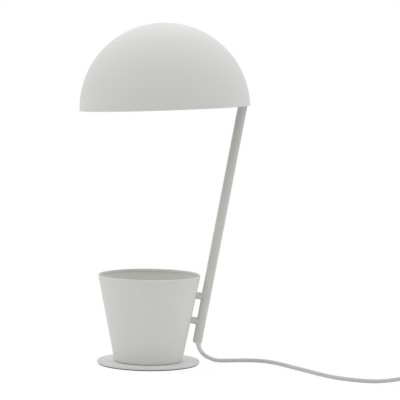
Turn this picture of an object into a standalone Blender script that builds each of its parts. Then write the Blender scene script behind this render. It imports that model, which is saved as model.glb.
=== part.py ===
# Metal desk lamp: a domed shade on a leaning tube that is tied to a pen cup on a round base.
# Metres, +Z up. The origin is the middle of the base's underside, the tube leans towards +X.
import math

import bmesh
import bpy
from mathutils import Matrix, Vector

# Fits shared by all pieces
GAP = 0.0003  # clear space between pieces that touch
OVERRUN = 0.003  # how far a cutter passes the surface that it cuts
PATH_PARTS = 12  # steps of a smooth path between two of its route's places
MERGE = 0.00001  # welding distance of turned shapes and caps
ROUND_STEPS = 56  # facets round the shade, cup and base
MIDDLE_STEPS = 24  # facets round the tube, lampholder and bulb
SMALL_STEPS = 12  # facets round screws, washers and pins
FILLET_STEPS = 2
SHARP_ANGLE = math.radians(35.0)

# Round base
PAD_RADIUS = 0.0595
PAD_THICKNESS = 0.0007
BASE_RADIUS = 0.0605
BASE_THICKNESS = 0.0023
BASE_EDGE_FILLET = 0.0006

# Pen cup
CUP_TOP_RADIUS = 0.0606
CUP_BOTTOM_RADIUS = 0.0403
CUP_HEIGHT = 0.102
CUP_WALL = 0.0012
CUP_FLOOR = 0.0012
CUP_FOOT_FILLET = 0.0018
CUP_RIM_FILLET = 0.0009
CUP_HEM_WIDTH = 0.002  # the rim is folded inwards and pressed flat
CUP_HEM_HEIGHT = 0.003
CUP_HEM_FILLET = 0.0003

# Screw that holds the cup on the base, from below
FOOT_SCREW_RADIUS = 0.003
FOOT_SCREW_HEAD_RADIUS = 0.0048
FOOT_SCREW_TIP = 0.004  # thread that stands past the washer, inside the cap nut
FOOT_WASHER_RADIUS = 0.009
FOOT_WASHER_THICKNESS = 0.0012
CAP_NUT_FLATS = 0.010
CAP_NUT_HEIGHT = 0.0048
CAP_NUT_DOME_RADIUS = 0.0046
CAP_NUT_DOME_HEIGHT = 0.0042

# Leaning tube
STEM_LEAN = math.radians(10.0)
STEM_RADIUS = 0.0055
STEM_WALL = 0.001
STEM_LENGTH = 0.2859
STEM_FOOT_HEIGHT = 0.026168
STEM_END_FILLET = 0.0003

# Two stubs between the cup and the tube
STUB_RADIUS = 0.0041
STUB_LOWER_PLACE = 0.0241  # from the tube's lower end
STUB_SPACING = 0.0298
STUB_LOWER_STANDOFF = 0.0067  # from the cup's wall to the tube
STUB_SCREW_RADIUS = 0.002
STUB_SCREW_DEPTH = 0.0055  # thread inside the lower stub
STUB_SCREW_HEAD_RADIUS = 0.0036
STUB_SCREW_HEAD_HEIGHT = 0.0024
STUB_WASHER_RADIUS = 0.0045
STUB_WASHER_THICKNESS = 0.0008
STUB_WALL_EASE = 0.0002  # extra room where a flat end faces the round cup wall
STUB_WALL_INNER_EASE = 0.0003
STUB_SCREW_TIP_ROOM = 0.0005

# Hinge between the tube and the shade
PIVOT_RISE = 0.014  # pivot above the tube's end
PIVOT_INSET = 0.008  # pivot from the tube's axis, towards the lamp's middle
PLUG_LENGTH = 0.014
PLUG_FIT = 0.0003
LUG_THICKNESS = 0.004
LUG_SIDE = 0.0002  # the lug's flat face from the tube's middle plane
LUG_EYE_RADIUS = 0.006
LUG_ROOT_HALF = 0.0035
LUG_ROOT_DEPTH = 0.0015
LEAD_SLOT_HALF = 0.0030
STEM_PIN_RADIUS = 0.001
STEM_PIN_PLACE = 0.0055  # below the tube's end
STEM_PIN_SIDE_SHARE = 0.38  # of the tube's radius, towards the lug's side
TILT_SCREW_RADIUS = 0.0025
TILT_SCREW_HEAD_RADIUS = 0.0045
TILT_SCREW_HEAD_HEIGHT = 0.0033
FRICTION_WASHER_RADIUS = 0.0057
FRICTION_WASHER_THICKNESS = 0.0008
SPRING_WASHER_RADIUS = 0.0046
SPRING_WASHER_THICKNESS = 0.0009

# Shade
SHADE_RADIUS = 0.100
SHADE_WALL = 0.001
SHADE_TILT = math.radians(2.67)  # the tube's side stands higher
SHADE_RINGS = 11
PIVOT_FROM_WALL = 0.0119  # pivot from the shade's wall, along the rim's plane
PIVOT_ABOVE_RIM = 0.0171

# Strap inside the shade
STRAP_THICKNESS = 0.0015
STRAP_LOW_ANGLE = math.radians(6.5)
STRAP_HIGH_ANGLE = math.radians(47.0)
STRAP_STEPS = 12
EAR_THICKNESS = 0.0018
EAR_RADIUS = 0.0062
EAR_TOP_ANGLE = math.radians(14.0)
STUD_ANGLES = (math.radians(18.5), math.radians(34.0))
STUD_RADIUS = 0.002
STUD_TIP = 0.001  # thread that stands past the nut
STUD_NUT_FLATS = 0.007
STUD_NUT_HEIGHT = 0.0032
STUD_WASHER_RADIUS = 0.0045
STUD_WASHER_THICKNESS = 0.0008

# Lampholder: lengths run from the strap's hanging leg towards the bulb
HOLDER_HEIGHT = 0.038  # its axis above the rim's plane
HOLDER_LEG_PLACE = 0.066  # the leg's inner face from the shade's middle
HOLDER_LEG_BELOW = 0.011  # how far the leg reaches under the axis
NIPPLE_RADIUS = 0.005
NIPPLE_BORE = 0.0037
NIPPLE_INSIDE = 0.0075
NIPPLE_OUTSIDE = 0.0105
NIPPLE_NUT_FLATS = 0.0135
NIPPLE_NUT_HEIGHT = 0.003
NIPPLE_WASHER_RADIUS = 0.0075
NIPPLE_WASHER_THICKNESS = 0.001
HOLDER_RADIUS = 0.0138
HOLDER_WALL = 0.0018
HOLDER_REAR_WALL = 0.003
HOLDER_CAP_LENGTH = 0.017
HOLDER_CAP_FILLET = 0.004
HOLDER_BARREL_LENGTH = 0.034
HOLDER_GRIP_DEPTH = 0.0008
HOLDER_GRIP_SHARE = 0.35  # of the barrel's length, at its full radius
CORE_START = 0.0125
CORE_LENGTH = 0.0115
CORE_BORE = 0.0016
SOCKET_RADIUS = 0.0078
SOCKET_WALL = 0.0005
SOCKET_LENGTH = 0.0185
TONGUE_WIDTH = 0.004
TONGUE_THICKNESS = 0.0005
TONGUE_REACH = 0.0048
TONGUE_LIFT = 0.002
TERMINAL_SCREW_RADIUS = 0.0015
TERMINAL_SCREW_HEAD_RADIUS = 0.0025
TERMINAL_SCREW_HEAD_HEIGHT = 0.0014
TERMINAL_SCREW_LENGTH = 0.004
TERMINAL_SCREW_PLACE = 0.0065

# Bulb
BULB_CAP_RADIUS = 0.0068
BULB_CAP_WALL = 0.0004
BULB_CAP_LENGTH = 0.0165
BULB_CAP_START = 0.0305
BULB_INSULATOR_LENGTH = 0.0016
BULB_INSULATOR_TIP_RADIUS = 0.0034
BULB_CONTACT_RADIUS = 0.0024
BULB_CONTACT_LENGTH = 0.0008
BULB_RADIUS = 0.0225
BULB_NECK_RADIUS = 0.0072
BULB_GLASS = 0.001
BULB_END = 0.1065  # the ball's far end
BULB_RINGS = 8

# Leads inside the lamp
LEAD_CABLE_RADIUS = 0.00225
LEAD_CABLE_TOP = 0.024  # the sheath ends this far below the tube's end
LEAD_CORE_RADIUS = 0.0008
LEAD_SPACING = 0.004
LEAD_HEADING = math.radians(35.0)  # from the tube's axis, where the cores cross the hinge's axis
LEAD_PIVOT_GAP = 0.0008
LEAD_PIVOT_REACH = 0.007
LEAD_NIPPLE_SIDE = 0.0015
LEAD_TERMINAL_SIDE = 0.0030
LEAD_BEND = 0.005
# Each core's name, finish, side at the sheath's end and side at the hinge, along Y
LEAD_CORES = (
    ("brown", "brown_core", -0.0009, 0.0013),
    ("blue", "blue_core", 0.0009, 0.0032),
)

# Bush and strain relief at the tube's lower end
BUSH_DEPTH = 0.012
BUSH_FLANGE = 0.0016
BUSH_FLANGE_FILLET = 0.0014
RELIEF_LENGTH = 0.0125
RELIEF_START_RADIUS = 0.0028
RELIEF_END_RADIUS = 0.00245
RELIEF_SPACING = 0.0018

# Cord. Its route is a list of places in millimetres, chosen by hand
MILLIMETRE = 0.001
CORD_RADIUS = 0.00225
CORD_THINNING = 6  # of the relief's spacings to one point of the free cord
CORD_SIDES = 2  # bevel resolution: eight sides
CORD_LEVEL_SHARE = 0.2  # level part at each end of a short stretch that rises
CORD_ROUTE_MM = (
    (58.6, 0.0, 25.1),
    (59.7, 0.2, 20.6),
    (61.4, 0.7, 16.2),
    (63.8, 1.3, 12.5),
    (67.2, 2.3, 9.3),
    (71.6, 3.9, 6.6),
    (76.6, 5.8, 4.2),
    (81.6, 7.8, 2.8),
    (87.0, 9.4, 2.3),
    (95.0, 10.6, 2.3),
    (104.0, 12.0, 2.3),
    (114.0, 13.2, 2.3),
    (124.0, 13.0, 2.3),
    (133.0, 10.6, 2.3),
    (142.0, 5.2, 2.3),
    (150.0, -2.8, 2.3),
    (157.0, -13.5, 2.3),
    (165.0, -27.0, 2.3),
    (173.0, -40.5, 2.3),
    (181.0, -54.0, 2.3),
    (189.0, -67.5, 2.3),
    (196.0, -79.5, 2.3),
    (204.0, -92.0, 2.3),
    (214.0, -104.0, 2.3),
    (226.0, -114.0, 2.3),
    (240.0, -121.5, 2.3),
    (256.0, -126.8, 2.6),
    (272.0, -130.0, 4.4),
    (283.0, -131.0, 6.3),
    (291.7, -131.0, 6.8),
)

# Switch on the cord
SWITCH_LENGTH = 0.056
SWITCH_WIDTH = 0.020
SWITCH_HEIGHT = 0.0135
SWITCH_WALL = 0.0016
SWITCH_CORNER = 0.006
SWITCH_SPLIT = 0.0067
SWITCH_EDGE_BEVEL = 0.0008
SWITCH_WINDOW_LENGTH = 0.0190
SWITCH_WINDOW_WIDTH = 0.0100
ROCKER_ANGLE = math.radians(8.0)
ROCKER_PIVOT_HEIGHT = 0.0098
ROCKER_RISE = 0.0050
ROCKER_DIP = 0.0035
ROCKER_SKIRT = 0.0012
ROCKER_FIT = 0.0007
ROCKER_BORE = 0.0011
ROCKER_PIN_RADIUS = 0.0008
SWITCH_SCREW_PLACE = 0.0185
SWITCH_SCREW_RADIUS = 0.0011
SWITCH_SCREW_HEAD_RADIUS = 0.0021
SWITCH_SCREW_HEAD_HEIGHT = 0.0012
SWITCH_CONTACT_WIDTH = 0.003
SWITCH_CONTACT_THICKNESS = 0.0005
SWITCH_CONTACT_LENGTH = 0.006
SWITCH_CONTACT_HEIGHT = 0.004
SWITCH_CONTACT_PLACE = 0.0090

# Coil of the length that is put away
COIL_LEAD_IN = 0.026  # straight cord from the switch to the coil
COIL_INNER_RADIUS = 0.0179
COIL_PITCH = 0.00502
COIL_LAYER_TURNS = 4.0
COIL_LOOP_POINTS = 24
COIL_SIDES = 1  # bevel resolution: six sides
COIL_FLOOR_CLEARANCE = 0.0013  # room for the tie under the turns
COIL_END_STRAIGHT = 0.0046
TIE_WIDTH = 0.006
TIE_THICKNESS = 0.0007
TIE_ROOM = 0.0005
TIE_FILLET = 0.002

# Plug
PLUG_LEAD = 0.025  # straight cord from the coil to the plug
PLUG_BODY_LENGTH = 0.036
PLUG_BODY_WIDTH = 0.0353
PLUG_BODY_HEIGHT = 0.0137
PLUG_NECK_WIDTH = 0.011
PLUG_NECK_LENGTH = 0.010
PLUG_SHOULDER = 0.007
PLUG_PIN_SPACING = 0.0186
PLUG_PIN_RADIUS = 0.0020
PLUG_PIN_LENGTH = 0.019
PLUG_PIN_SLEEVE = 0.010
PLUG_PIN_ROOT = 0.006
PLUG_PIN_STEM_RADIUS = 0.0012
PLUG_PIN_NOSE_SHARE = 0.6

COLLECTION = "metal_desk_lamp"
CUTTERS = "cutters"


# Places worked out from the sizes
BASE_TOP = PAD_THICKNESS + GAP + BASE_THICKNESS
CUP_FOOT = BASE_TOP + GAP
CUP_TAPER = (CUP_TOP_RADIUS - CUP_BOTTOM_RADIUS) / CUP_HEIGHT
STUB_PLACES = (STUB_LOWER_PLACE, STUB_LOWER_PLACE + STUB_SPACING)
SHADE_INNER = SHADE_RADIUS - SHADE_WALL
PIVOT_OUT = SHADE_INNER - PIVOT_FROM_WALL
EAR_DEPTH = GAP + FRICTION_WASHER_THICKNESS + GAP  # the ear's near face from the lug's far face
STRAP_HALF_WIDTH = LUG_SIDE + LUG_THICKNESS + EAR_DEPTH + EAR_THICKNESS
HOLDER_PLACE = ((HOLDER_LEG_PLACE, 0, HOLDER_HEIGHT), (0, -math.pi / 2, 0))


def stem_foot():
    """Where the tube's axis starts, from the lower stub's standoff to the cup's wall."""
    reach = STUB_LOWER_STANDOFF + STEM_RADIUS
    height = STEM_FOOT_HEIGHT + STUB_LOWER_PLACE * math.cos(STEM_LEAN)
    wall = CUP_BOTTOM_RADIUS + (height - CUP_FOOT) * CUP_TAPER
    out = wall + reach * (math.cos(STEM_LEAN) + CUP_TAPER * math.sin(STEM_LEAN))
    return Vector((out - STUB_LOWER_PLACE * math.sin(STEM_LEAN), 0, STEM_FOOT_HEIGHT))


def reach_to_cup(along):
    """From the tube's axis to the cup's outer wall, square to the tube."""
    foot = stem_foot()
    out = foot.x + along * math.sin(STEM_LEAN)
    height = foot.z + along * math.cos(STEM_LEAN)
    wall = CUP_BOTTOM_RADIUS + (height - CUP_FOOT) * CUP_TAPER
    return (out - wall) / (math.cos(STEM_LEAN) + CUP_TAPER * math.sin(STEM_LEAN))


def tilt_pivot():
    """The shade's hinge axis, from the tube's upper end."""
    along = STEM_LENGTH + PIVOT_RISE
    foot = stem_foot()
    out = foot.x + along * math.sin(STEM_LEAN) - PIVOT_INSET * math.cos(STEM_LEAN)
    height = foot.z + along * math.cos(STEM_LEAN) + PIVOT_INSET * math.sin(STEM_LEAN)
    return Vector((out, 0, height))


# Scene and materials
def clear_scene():
    for old in list(bpy.data.objects):
        bpy.data.objects.remove(old, do_unlink=True)


def new_collection(name):
    made = bpy.data.collections.new(name)
    bpy.context.scene.collection.children.link(made)
    return made


def finish(name, colour, roughness, metallic=0.0):
    """One Principled BSDF material."""
    made = bpy.data.materials.new(name)
    made.use_nodes = True
    shader = made.node_tree.nodes["Principled BSDF"]
    shader.inputs["Base Color"].default_value = (*colour, 1.0)
    shader.inputs["Roughness"].default_value = roughness
    shader.inputs["Metallic"].default_value = metallic
    return made


FINISHES = {
    "white_powder_coat": ((0.78, 0.78, 0.76), 0.55, 0.0),
    "grey_foam": ((0.12, 0.12, 0.12), 0.9, 0.0),
    "zinc_steel": ((0.62, 0.62, 0.64), 0.35, 1.0),
    "brass": ((0.72, 0.55, 0.26), 0.3, 1.0),
    "white_plastic": ((0.82, 0.82, 0.80), 0.4, 0.0),
    "cream_ceramic": ((0.80, 0.76, 0.66), 0.45, 0.0),
    "opal_glass": ((0.90, 0.90, 0.88), 0.25, 0.0),
    "black_glass": ((0.02, 0.02, 0.02), 0.2, 0.0),
    "white_cord": ((0.58, 0.58, 0.57), 0.5, 0.0),
    "blue_core": ((0.05, 0.16, 0.5), 0.45, 0.0),
    "brown_core": ((0.22, 0.10, 0.05), 0.45, 0.0),
    "nickel_pin": ((0.75, 0.73, 0.68), 0.25, 1.0),
    "black_sleeve": ((0.03, 0.03, 0.03), 0.5, 0.0),
}


def dress(piece, name, material, parent=None):
    """Name a piece, give it its own material, its parent and its collection."""
    piece.name = name
    piece.data.name = name
    piece.data.materials.clear()
    piece.data.materials.append(finish(name, *FINISHES[material]))
    piece.parent = parent
    bpy.data.collections[COLLECTION].objects.link(piece)
    return piece


def hide_as_cutter(piece, parent=None):
    piece.parent = parent
    piece.hide_render = True
    piece.display_type = "WIRE"
    bpy.data.collections[CUTTERS].objects.link(piece)
    return piece


def empty(name, location=(0, 0, 0), turn=(0, 0, 0), parent=None):
    made = bpy.data.objects.new(name, None)
    made.location = location
    made.rotation_euler = turn
    made.parent = parent
    bpy.data.collections[COLLECTION].objects.link(made)
    return made


# Outlines
def arc(centre, radius, start, end, steps):
    """Points on an arc, both ends with it. Angles in radians."""
    return [
        (
            centre[0] + radius * math.cos(start + (end - start) * i / steps),
            centre[1] + radius * math.sin(start + (end - start) * i / steps),
        )
        for i in range(steps + 1)
    ]


def filleted(corners, closed=True):
    """An outline whose corners, each (x, y, fillet radius), are rounded off."""
    points = []
    for i, (x, y, radius) in enumerate(corners):
        here = Vector((x, y))
        if radius <= 0 or (not closed and i in (0, len(corners) - 1)):
            points.append((x, y))
            continue
        before = (Vector(corners[i - 1][:2]) - here).normalized()
        after = (Vector(corners[(i + 1) % len(corners)][:2]) - here).normalized()
        half = before.angle(after) / 2
        middle = here + (before + after).normalized() * radius / math.sin(half)
        first = here + before * radius / math.tan(half) - middle
        last = here + after * radius / math.tan(half) - middle
        start = math.atan2(first.y, first.x)
        sweep = first.angle_signed(last)
        points += arc(middle, radius, start, start - sweep, FILLET_STEPS)
    return points


def circle(centre, radius, steps):
    return arc(centre, radius, 0, 2 * math.pi, steps)[:-1]


def polygon_round(flats):
    """A hexagon by its width across flats."""
    return circle((0, 0), flats / math.sqrt(3), 6)


def hull_of_circle_and_points(centre, radius, points, steps):
    """The convex outline round a circle and some points."""
    cloud = [Vector(p) for p in circle(centre, radius, steps) + list(points)]
    start = min(cloud, key=lambda p: (p.x, p.y))
    outline, here = [], start
    while True:
        outline.append(here[:])
        best = cloud[0]
        for p in cloud:
            side = (best - here).cross(p - here)
            farther = (p - here).length > (best - here).length
            if best == here or side < 0 or (side == 0 and farther):
                best = p
        here = best
        if here == start:
            return outline


# Shapes
def mesh_object(points, edges):
    mesh = bpy.data.meshes.new("outline")
    mesh.from_pydata([(x, 0, z) for x, z in points], edges, [])
    return bpy.data.objects.new("outline", mesh)


def turned(profile, steps, closed=False):
    """A body turned round Z. The profile runs down the outer side and up the inner side."""
    edges = [(i, i + 1) for i in range(len(profile) - 1)]
    if closed:
        edges.append((len(profile) - 1, 0))
    made = mesh_object(profile, edges)
    screw = made.modifiers.new("turn", "SCREW")
    screw.steps = steps
    screw.render_steps = steps
    screw.use_merge_vertices = True
    screw.merge_threshold = MERGE
    screw.use_smooth_shade = True
    return made


def turned_ring(outer, inner, low, high, steps, fillet=0):
    corners = [(outer, high, fillet), (outer, low, fillet), (inner, low, 0), (inner, high, 0)]
    return turned(filleted(corners), steps, closed=True)


def turned_pin(radius, low, high, steps, fillet=0):
    corners = [(0, high, 0), (radius, high, fillet), (radius, low, fillet), (0, low, 0)]
    return turned(filleted(corners, closed=False), steps)


def as_mesh(shape):
    """The evaluated shape as a plain mesh with its caps welded on."""
    bpy.context.scene.collection.objects.link(shape)
    bpy.context.view_layer.update()
    view = bpy.context.evaluated_depsgraph_get()
    mesh = bpy.data.meshes.new_from_object(shape.evaluated_get(view))
    body = bmesh.new()
    body.from_mesh(mesh)
    bmesh.ops.remove_doubles(body, verts=body.verts, dist=MERGE)
    bmesh.ops.recalc_face_normals(body, faces=body.faces)
    body.to_mesh(mesh)
    body.free()
    made = bpy.data.objects.new(shape.name, mesh)
    made.matrix_world = shape.matrix_world
    bpy.data.objects.remove(shape, do_unlink=True)
    return made


def plate(outline, thickness, holes=()):
    """A flat outline in X and Y, as thick along Z as said, half to each side."""
    flat = bpy.data.curves.new("plate", "CURVE")
    flat.dimensions = "2D"
    flat.fill_mode = "BOTH"
    flat.extrude = thickness / 2
    for ring in (outline, *holes):
        spline = flat.splines.new("POLY")
        spline.points.add(len(ring) - 1)
        for point, (x, y) in zip(spline.points, ring):
            point.co = (x, y, 0, 1)
        spline.use_cyclic_u = True
    return as_mesh(bpy.data.objects.new("plate", flat))


def side_plate(outline, thickness, middle=0, holes=()):
    """A plate whose outline is in X and Z, with its middle at this Y."""
    made = plate(outline, thickness, holes)
    for vertex in made.data.vertices:
        x, y, z = vertex.co
        vertex.co = (x, middle - z, y)
    return made


def tube(points, radius, sides, shares=None):
    """A round tube through the points, closed at both ends. The shares scale its radius."""
    line = bpy.data.curves.new("tube", "CURVE")
    line.dimensions = "3D"
    line.bevel_depth = radius
    line.bevel_resolution = sides
    line.use_fill_caps = True
    spline = line.splines.new("POLY")
    spline.points.add(len(points) - 1)
    for i, (point, place) in enumerate(zip(spline.points, points)):
        point.co = (*place, 1)
        point.radius = shares[i] if shares else 1
    return bpy.data.objects.new("tube", line)


def smooth_path(route, spacing):
    """Evenly spaced points on a smooth curve through the route's points."""
    places = [Vector(p) for p in route]
    ends = [2 * places[0] - places[1], *places, 2 * places[-1] - places[-2]]
    fine = []
    for a, b, c, d in zip(ends, ends[1:], ends[2:], ends[3:]):
        for i in range(PATH_PARTS):
            t = i / PATH_PARTS
            fine.append(
                0.5 * (2 * b + (c - a) * t + (2 * a - 5 * b + 4 * c - d) * t**2)
                + 0.5 * (3 * b - a - 3 * c + d) * t**3
            )
    fine.append(places[-1])
    length = path_length(fine)
    count = max(2, round(length / spacing))
    points, walked, target = [fine[0]], 0, length / count
    for a, b in zip(fine, fine[1:]):
        step = (b - a).length
        while walked + step >= target and len(points) < count:
            points.append(a.lerp(b, (target - walked) / step))
            target += length / count
        walked += step
    points.append(places[-1])
    return points


def cut(piece, cutter):
    change = piece.modifiers.new("cut", "BOOLEAN")
    change.operation = "DIFFERENCE"
    change.solver = "EXACT"
    change.object = cutter
    return piece


def fuse(piece, other):
    change = piece.modifiers.new("fuse", "BOOLEAN")
    change.operation = "UNION"
    change.solver = "EXACT"
    change.object = other
    return piece


def box_body(across, deep, high):
    """A box by its low and high ends along X, Y and Z."""
    body = bmesh.new()
    bmesh.ops.create_cube(body, size=1)
    ends = (across, deep, high)
    size = [top - low for low, top in ends]
    middle = [(top + low) / 2 for low, top in ends]
    bmesh.ops.scale(body, vec=size, verts=body.verts)
    bmesh.ops.translate(body, vec=middle, verts=body.verts)
    mesh = bpy.data.meshes.new("box")
    body.to_mesh(mesh)
    body.free()
    return bpy.data.objects.new("box", mesh)


def moved(piece, location=(0, 0, 0), turn=(0, 0, 0)):
    piece.location = location
    piece.rotation_euler = turn
    return piece


# Fasteners: heads at the top, shank down from zero
def socket_cutter(radius, height):
    body = bmesh.new()
    bmesh.ops.create_cone(
        body, cap_ends=True, segments=6, radius1=radius / 2, radius2=radius / 2, depth=height
    )
    mesh = bpy.data.meshes.new("socket")
    body.to_mesh(mesh)
    body.free()
    return bpy.data.objects.new("socket", mesh)


def pan_screw(shank_radius, length, head_radius, head_height):
    """A round-headed screw with a six-sided socket."""
    corners = [
        (0, head_height, 0),
        (head_radius, head_height, head_height / 2),
        (head_radius, 0, 0),
        (shank_radius, 0, 0),
        (shank_radius, -length, shank_radius / 4),
        (0, -length, 0),
    ]
    made = turned(filleted(corners, closed=False), SMALL_STEPS)
    socket = hide_as_cutter(socket_cutter(head_radius, head_height))
    socket.location = (0, 0, head_height)
    return as_mesh(cut(made, socket))


def nut(flats, height, bore):
    return plate(polygon_round(flats), height, [circle((0, 0), bore, SMALL_STEPS)])


# Base and cup
def foot_screw_profile(ease):
    """Half outline of a countersunk screw, grown by this ease."""
    low = PAD_THICKNESS + GAP
    head = FOOT_SCREW_HEAD_RADIUS + ease
    shank = FOOT_SCREW_RADIUS + ease
    return low, head, shank, low + head - shank


def foot_stack_top():
    return CUP_FOOT + CUP_FLOOR + GAP + FOOT_WASHER_THICKNESS + GAP


def make_base():
    pad = turned_pin(PAD_RADIUS, 0, PAD_THICKNESS, ROUND_STEPS)
    dress(pad, "base_pad", "grey_foam")
    low = PAD_THICKNESS + GAP
    disc = turned_pin(BASE_RADIUS, low, BASE_TOP, ROUND_STEPS, BASE_EDGE_FILLET)
    _, head, shank, neck = foot_screw_profile(GAP)
    top = BASE_TOP + OVERRUN
    bottom = low - OVERRUN
    outline = [(0, top), (shank, top), (shank, neck), (head, low), (head, bottom), (0, bottom)]
    cut(disc, hide_as_cutter(turned(outline, SMALL_STEPS)))
    dress(disc, "base_disc", "white_powder_coat")


def make_foot_screw():
    low, head, shank, neck = foot_screw_profile(0)
    top = foot_stack_top() + FOOT_SCREW_TIP
    outline = [(0, top), (shank, top), (shank, neck), (head, low), (0, low)]
    dress(turned(outline, SMALL_STEPS), "foot_screw", "zinc_steel")
    floor = CUP_FOOT + CUP_FLOOR + GAP
    bore = FOOT_SCREW_RADIUS + GAP
    washer = turned_ring(
        FOOT_WASHER_RADIUS, bore, floor, floor + FOOT_WASHER_THICKNESS, SMALL_STEPS
    )
    dress(washer, "foot_washer", "zinc_steel")
    make_cap_nut(foot_stack_top(), bore)


def make_cap_nut(low, bore):
    """A domed nut whose blind bore takes the screw's tip."""
    body = plate(polygon_round(CAP_NUT_FLATS), CAP_NUT_HEIGHT)
    body.data.transform(Matrix.Translation((0, 0, low + CAP_NUT_HEIGHT / 2)))
    base = low + CAP_NUT_HEIGHT
    rise = CAP_NUT_DOME_HEIGHT / CAP_NUT_DOME_RADIUS
    quarter = arc((0, 0), CAP_NUT_DOME_RADIUS, math.pi / 2, 0, FILLET_STEPS * 2)
    outline = [(r, base + z * rise) for r, z in quarter]
    outline += [(CAP_NUT_DOME_RADIUS, base - GAP), (0, base - GAP)]
    fuse(body, hide_as_cutter(turned(outline, SMALL_STEPS)))
    drill = turned_pin(bore, low - OVERRUN, low + FOOT_SCREW_TIP + GAP, SMALL_STEPS)
    dress(cut(body, hide_as_cutter(drill)), "foot_cap_nut", "zinc_steel")


def cup_outline():
    """The cup's half outline: down the outside, then up the inside."""
    side = math.hypot(1, CUP_TAPER) * CUP_WALL
    inner_floor = CUP_BOTTOM_RADIUS + CUP_FLOOR * CUP_TAPER - side
    under_hem = CUP_TOP_RADIUS - CUP_HEM_HEIGHT * CUP_TAPER
    hem_foot = CUP_HEIGHT - CUP_HEM_HEIGHT
    corners = [
        (CUP_TOP_RADIUS - CUP_HEM_WIDTH, CUP_HEIGHT, CUP_RIM_FILLET),
        (CUP_TOP_RADIUS, CUP_HEIGHT, CUP_RIM_FILLET),
        (CUP_BOTTOM_RADIUS, 0, CUP_FOOT_FILLET),
        (FOOT_SCREW_RADIUS + GAP, 0, 0),
        (FOOT_SCREW_RADIUS + GAP, CUP_FLOOR, 0),
        (inner_floor, CUP_FLOOR, CUP_FOOT_FILLET / 2),
        (under_hem - side, hem_foot, 0),
        (under_hem - CUP_HEM_WIDTH, hem_foot, CUP_HEM_FILLET),
    ]
    return [(r, z + CUP_FOOT) for r, z in filleted(corners)]


def make_cup(stem):
    cup = turned(cup_outline(), ROUND_STEPS, closed=True)
    for along in STUB_PLACES:
        reach = reach_to_cup(along)
        hole = turned_pin(STUB_SCREW_RADIUS + GAP, reach - OVERRUN, reach + OVERRUN, SMALL_STEPS)
        cut(cup, hide_as_cutter(stub_placed(hole, along), stem))
    dress(cup, "pen_cup", "white_powder_coat")


# Stubs
def stub_placed(piece, along):
    """Lay a piece that is turned round Z square to the tube, towards the cup."""
    return moved(piece, (0, 0, along), (0, -math.pi / 2, 0))


def stub_screw_depth(along):
    """The thread's depth: less by as much as this stub is shorter than the lower one."""
    return STUB_SCREW_DEPTH + reach_to_cup(along) - reach_to_cup(STUB_LOWER_PLACE)


def make_stub(name, along, stem):
    """A spacer welded to the tube, with its fastening from inside the cup."""
    reach = reach_to_cup(along)
    face = reach - GAP - STUB_WALL_EASE
    stub = turned_pin(STUB_RADIUS, 0, face, MIDDLE_STEPS)
    tube_cutter = turned_pin(STEM_RADIUS + GAP, -STUB_RADIUS * 2, STUB_RADIUS * 2, MIDDLE_STEPS)
    cut(stub, hide_as_cutter(moved(tube_cutter, (0, 0, along)), stem))
    bore = STUB_SCREW_RADIUS + GAP
    depth = stub_screw_depth(along)
    drill = turned_pin(bore, face - depth, face + OVERRUN, SMALL_STEPS)
    cut(stub, hide_as_cutter(stub_placed(drill, along), stem))
    dress(stub_placed(stub, along), f"{name}_stub", "white_powder_coat", stem)

    inner_wall = reach + CUP_WALL + STUB_WALL_INNER_EASE
    slant = STEM_LEAN - math.atan(CUP_TAPER)
    low = inner_wall + GAP + STUB_WASHER_RADIUS * abs(math.sin(slant))
    high = low + STUB_WASHER_THICKNESS
    washer = turned_ring(STUB_WASHER_RADIUS, bore, low, high, SMALL_STEPS)
    dress(stub_placed(washer, along), f"{name}_stub_washer", "zinc_steel", stem)
    seat = high + GAP
    shank = seat - face + depth - STUB_SCREW_TIP_ROOM
    screw = pan_screw(STUB_SCREW_RADIUS, shank, STUB_SCREW_HEAD_RADIUS, STUB_SCREW_HEAD_HEIGHT)
    screw.data.transform(Matrix.Translation((0, 0, seat)))
    dress(stub_placed(screw, along), f"{name}_stub_screw", "zinc_steel", stem)


# Tube and hinge
def make_stem(stem):
    bore = STEM_RADIUS - STEM_WALL
    tube_body = turned_ring(STEM_RADIUS, bore, 0, STEM_LENGTH, MIDDLE_STEPS, STEM_END_FILLET)
    cut(tube_body, hide_as_cutter(stem_pin_body(STEM_PIN_RADIUS + GAP, STEM_RADIUS), stem))
    dress(tube_body, "stem_tube", "white_powder_coat", stem)


def stem_pin_body(radius, half_length):
    pin = turned_pin(radius, -half_length, half_length, SMALL_STEPS)
    place = (0, -STEM_PIN_SIDE_SHARE * STEM_RADIUS, STEM_LENGTH - STEM_PIN_PLACE)
    return moved(pin, place, (0, math.pi / 2, 0))


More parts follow.
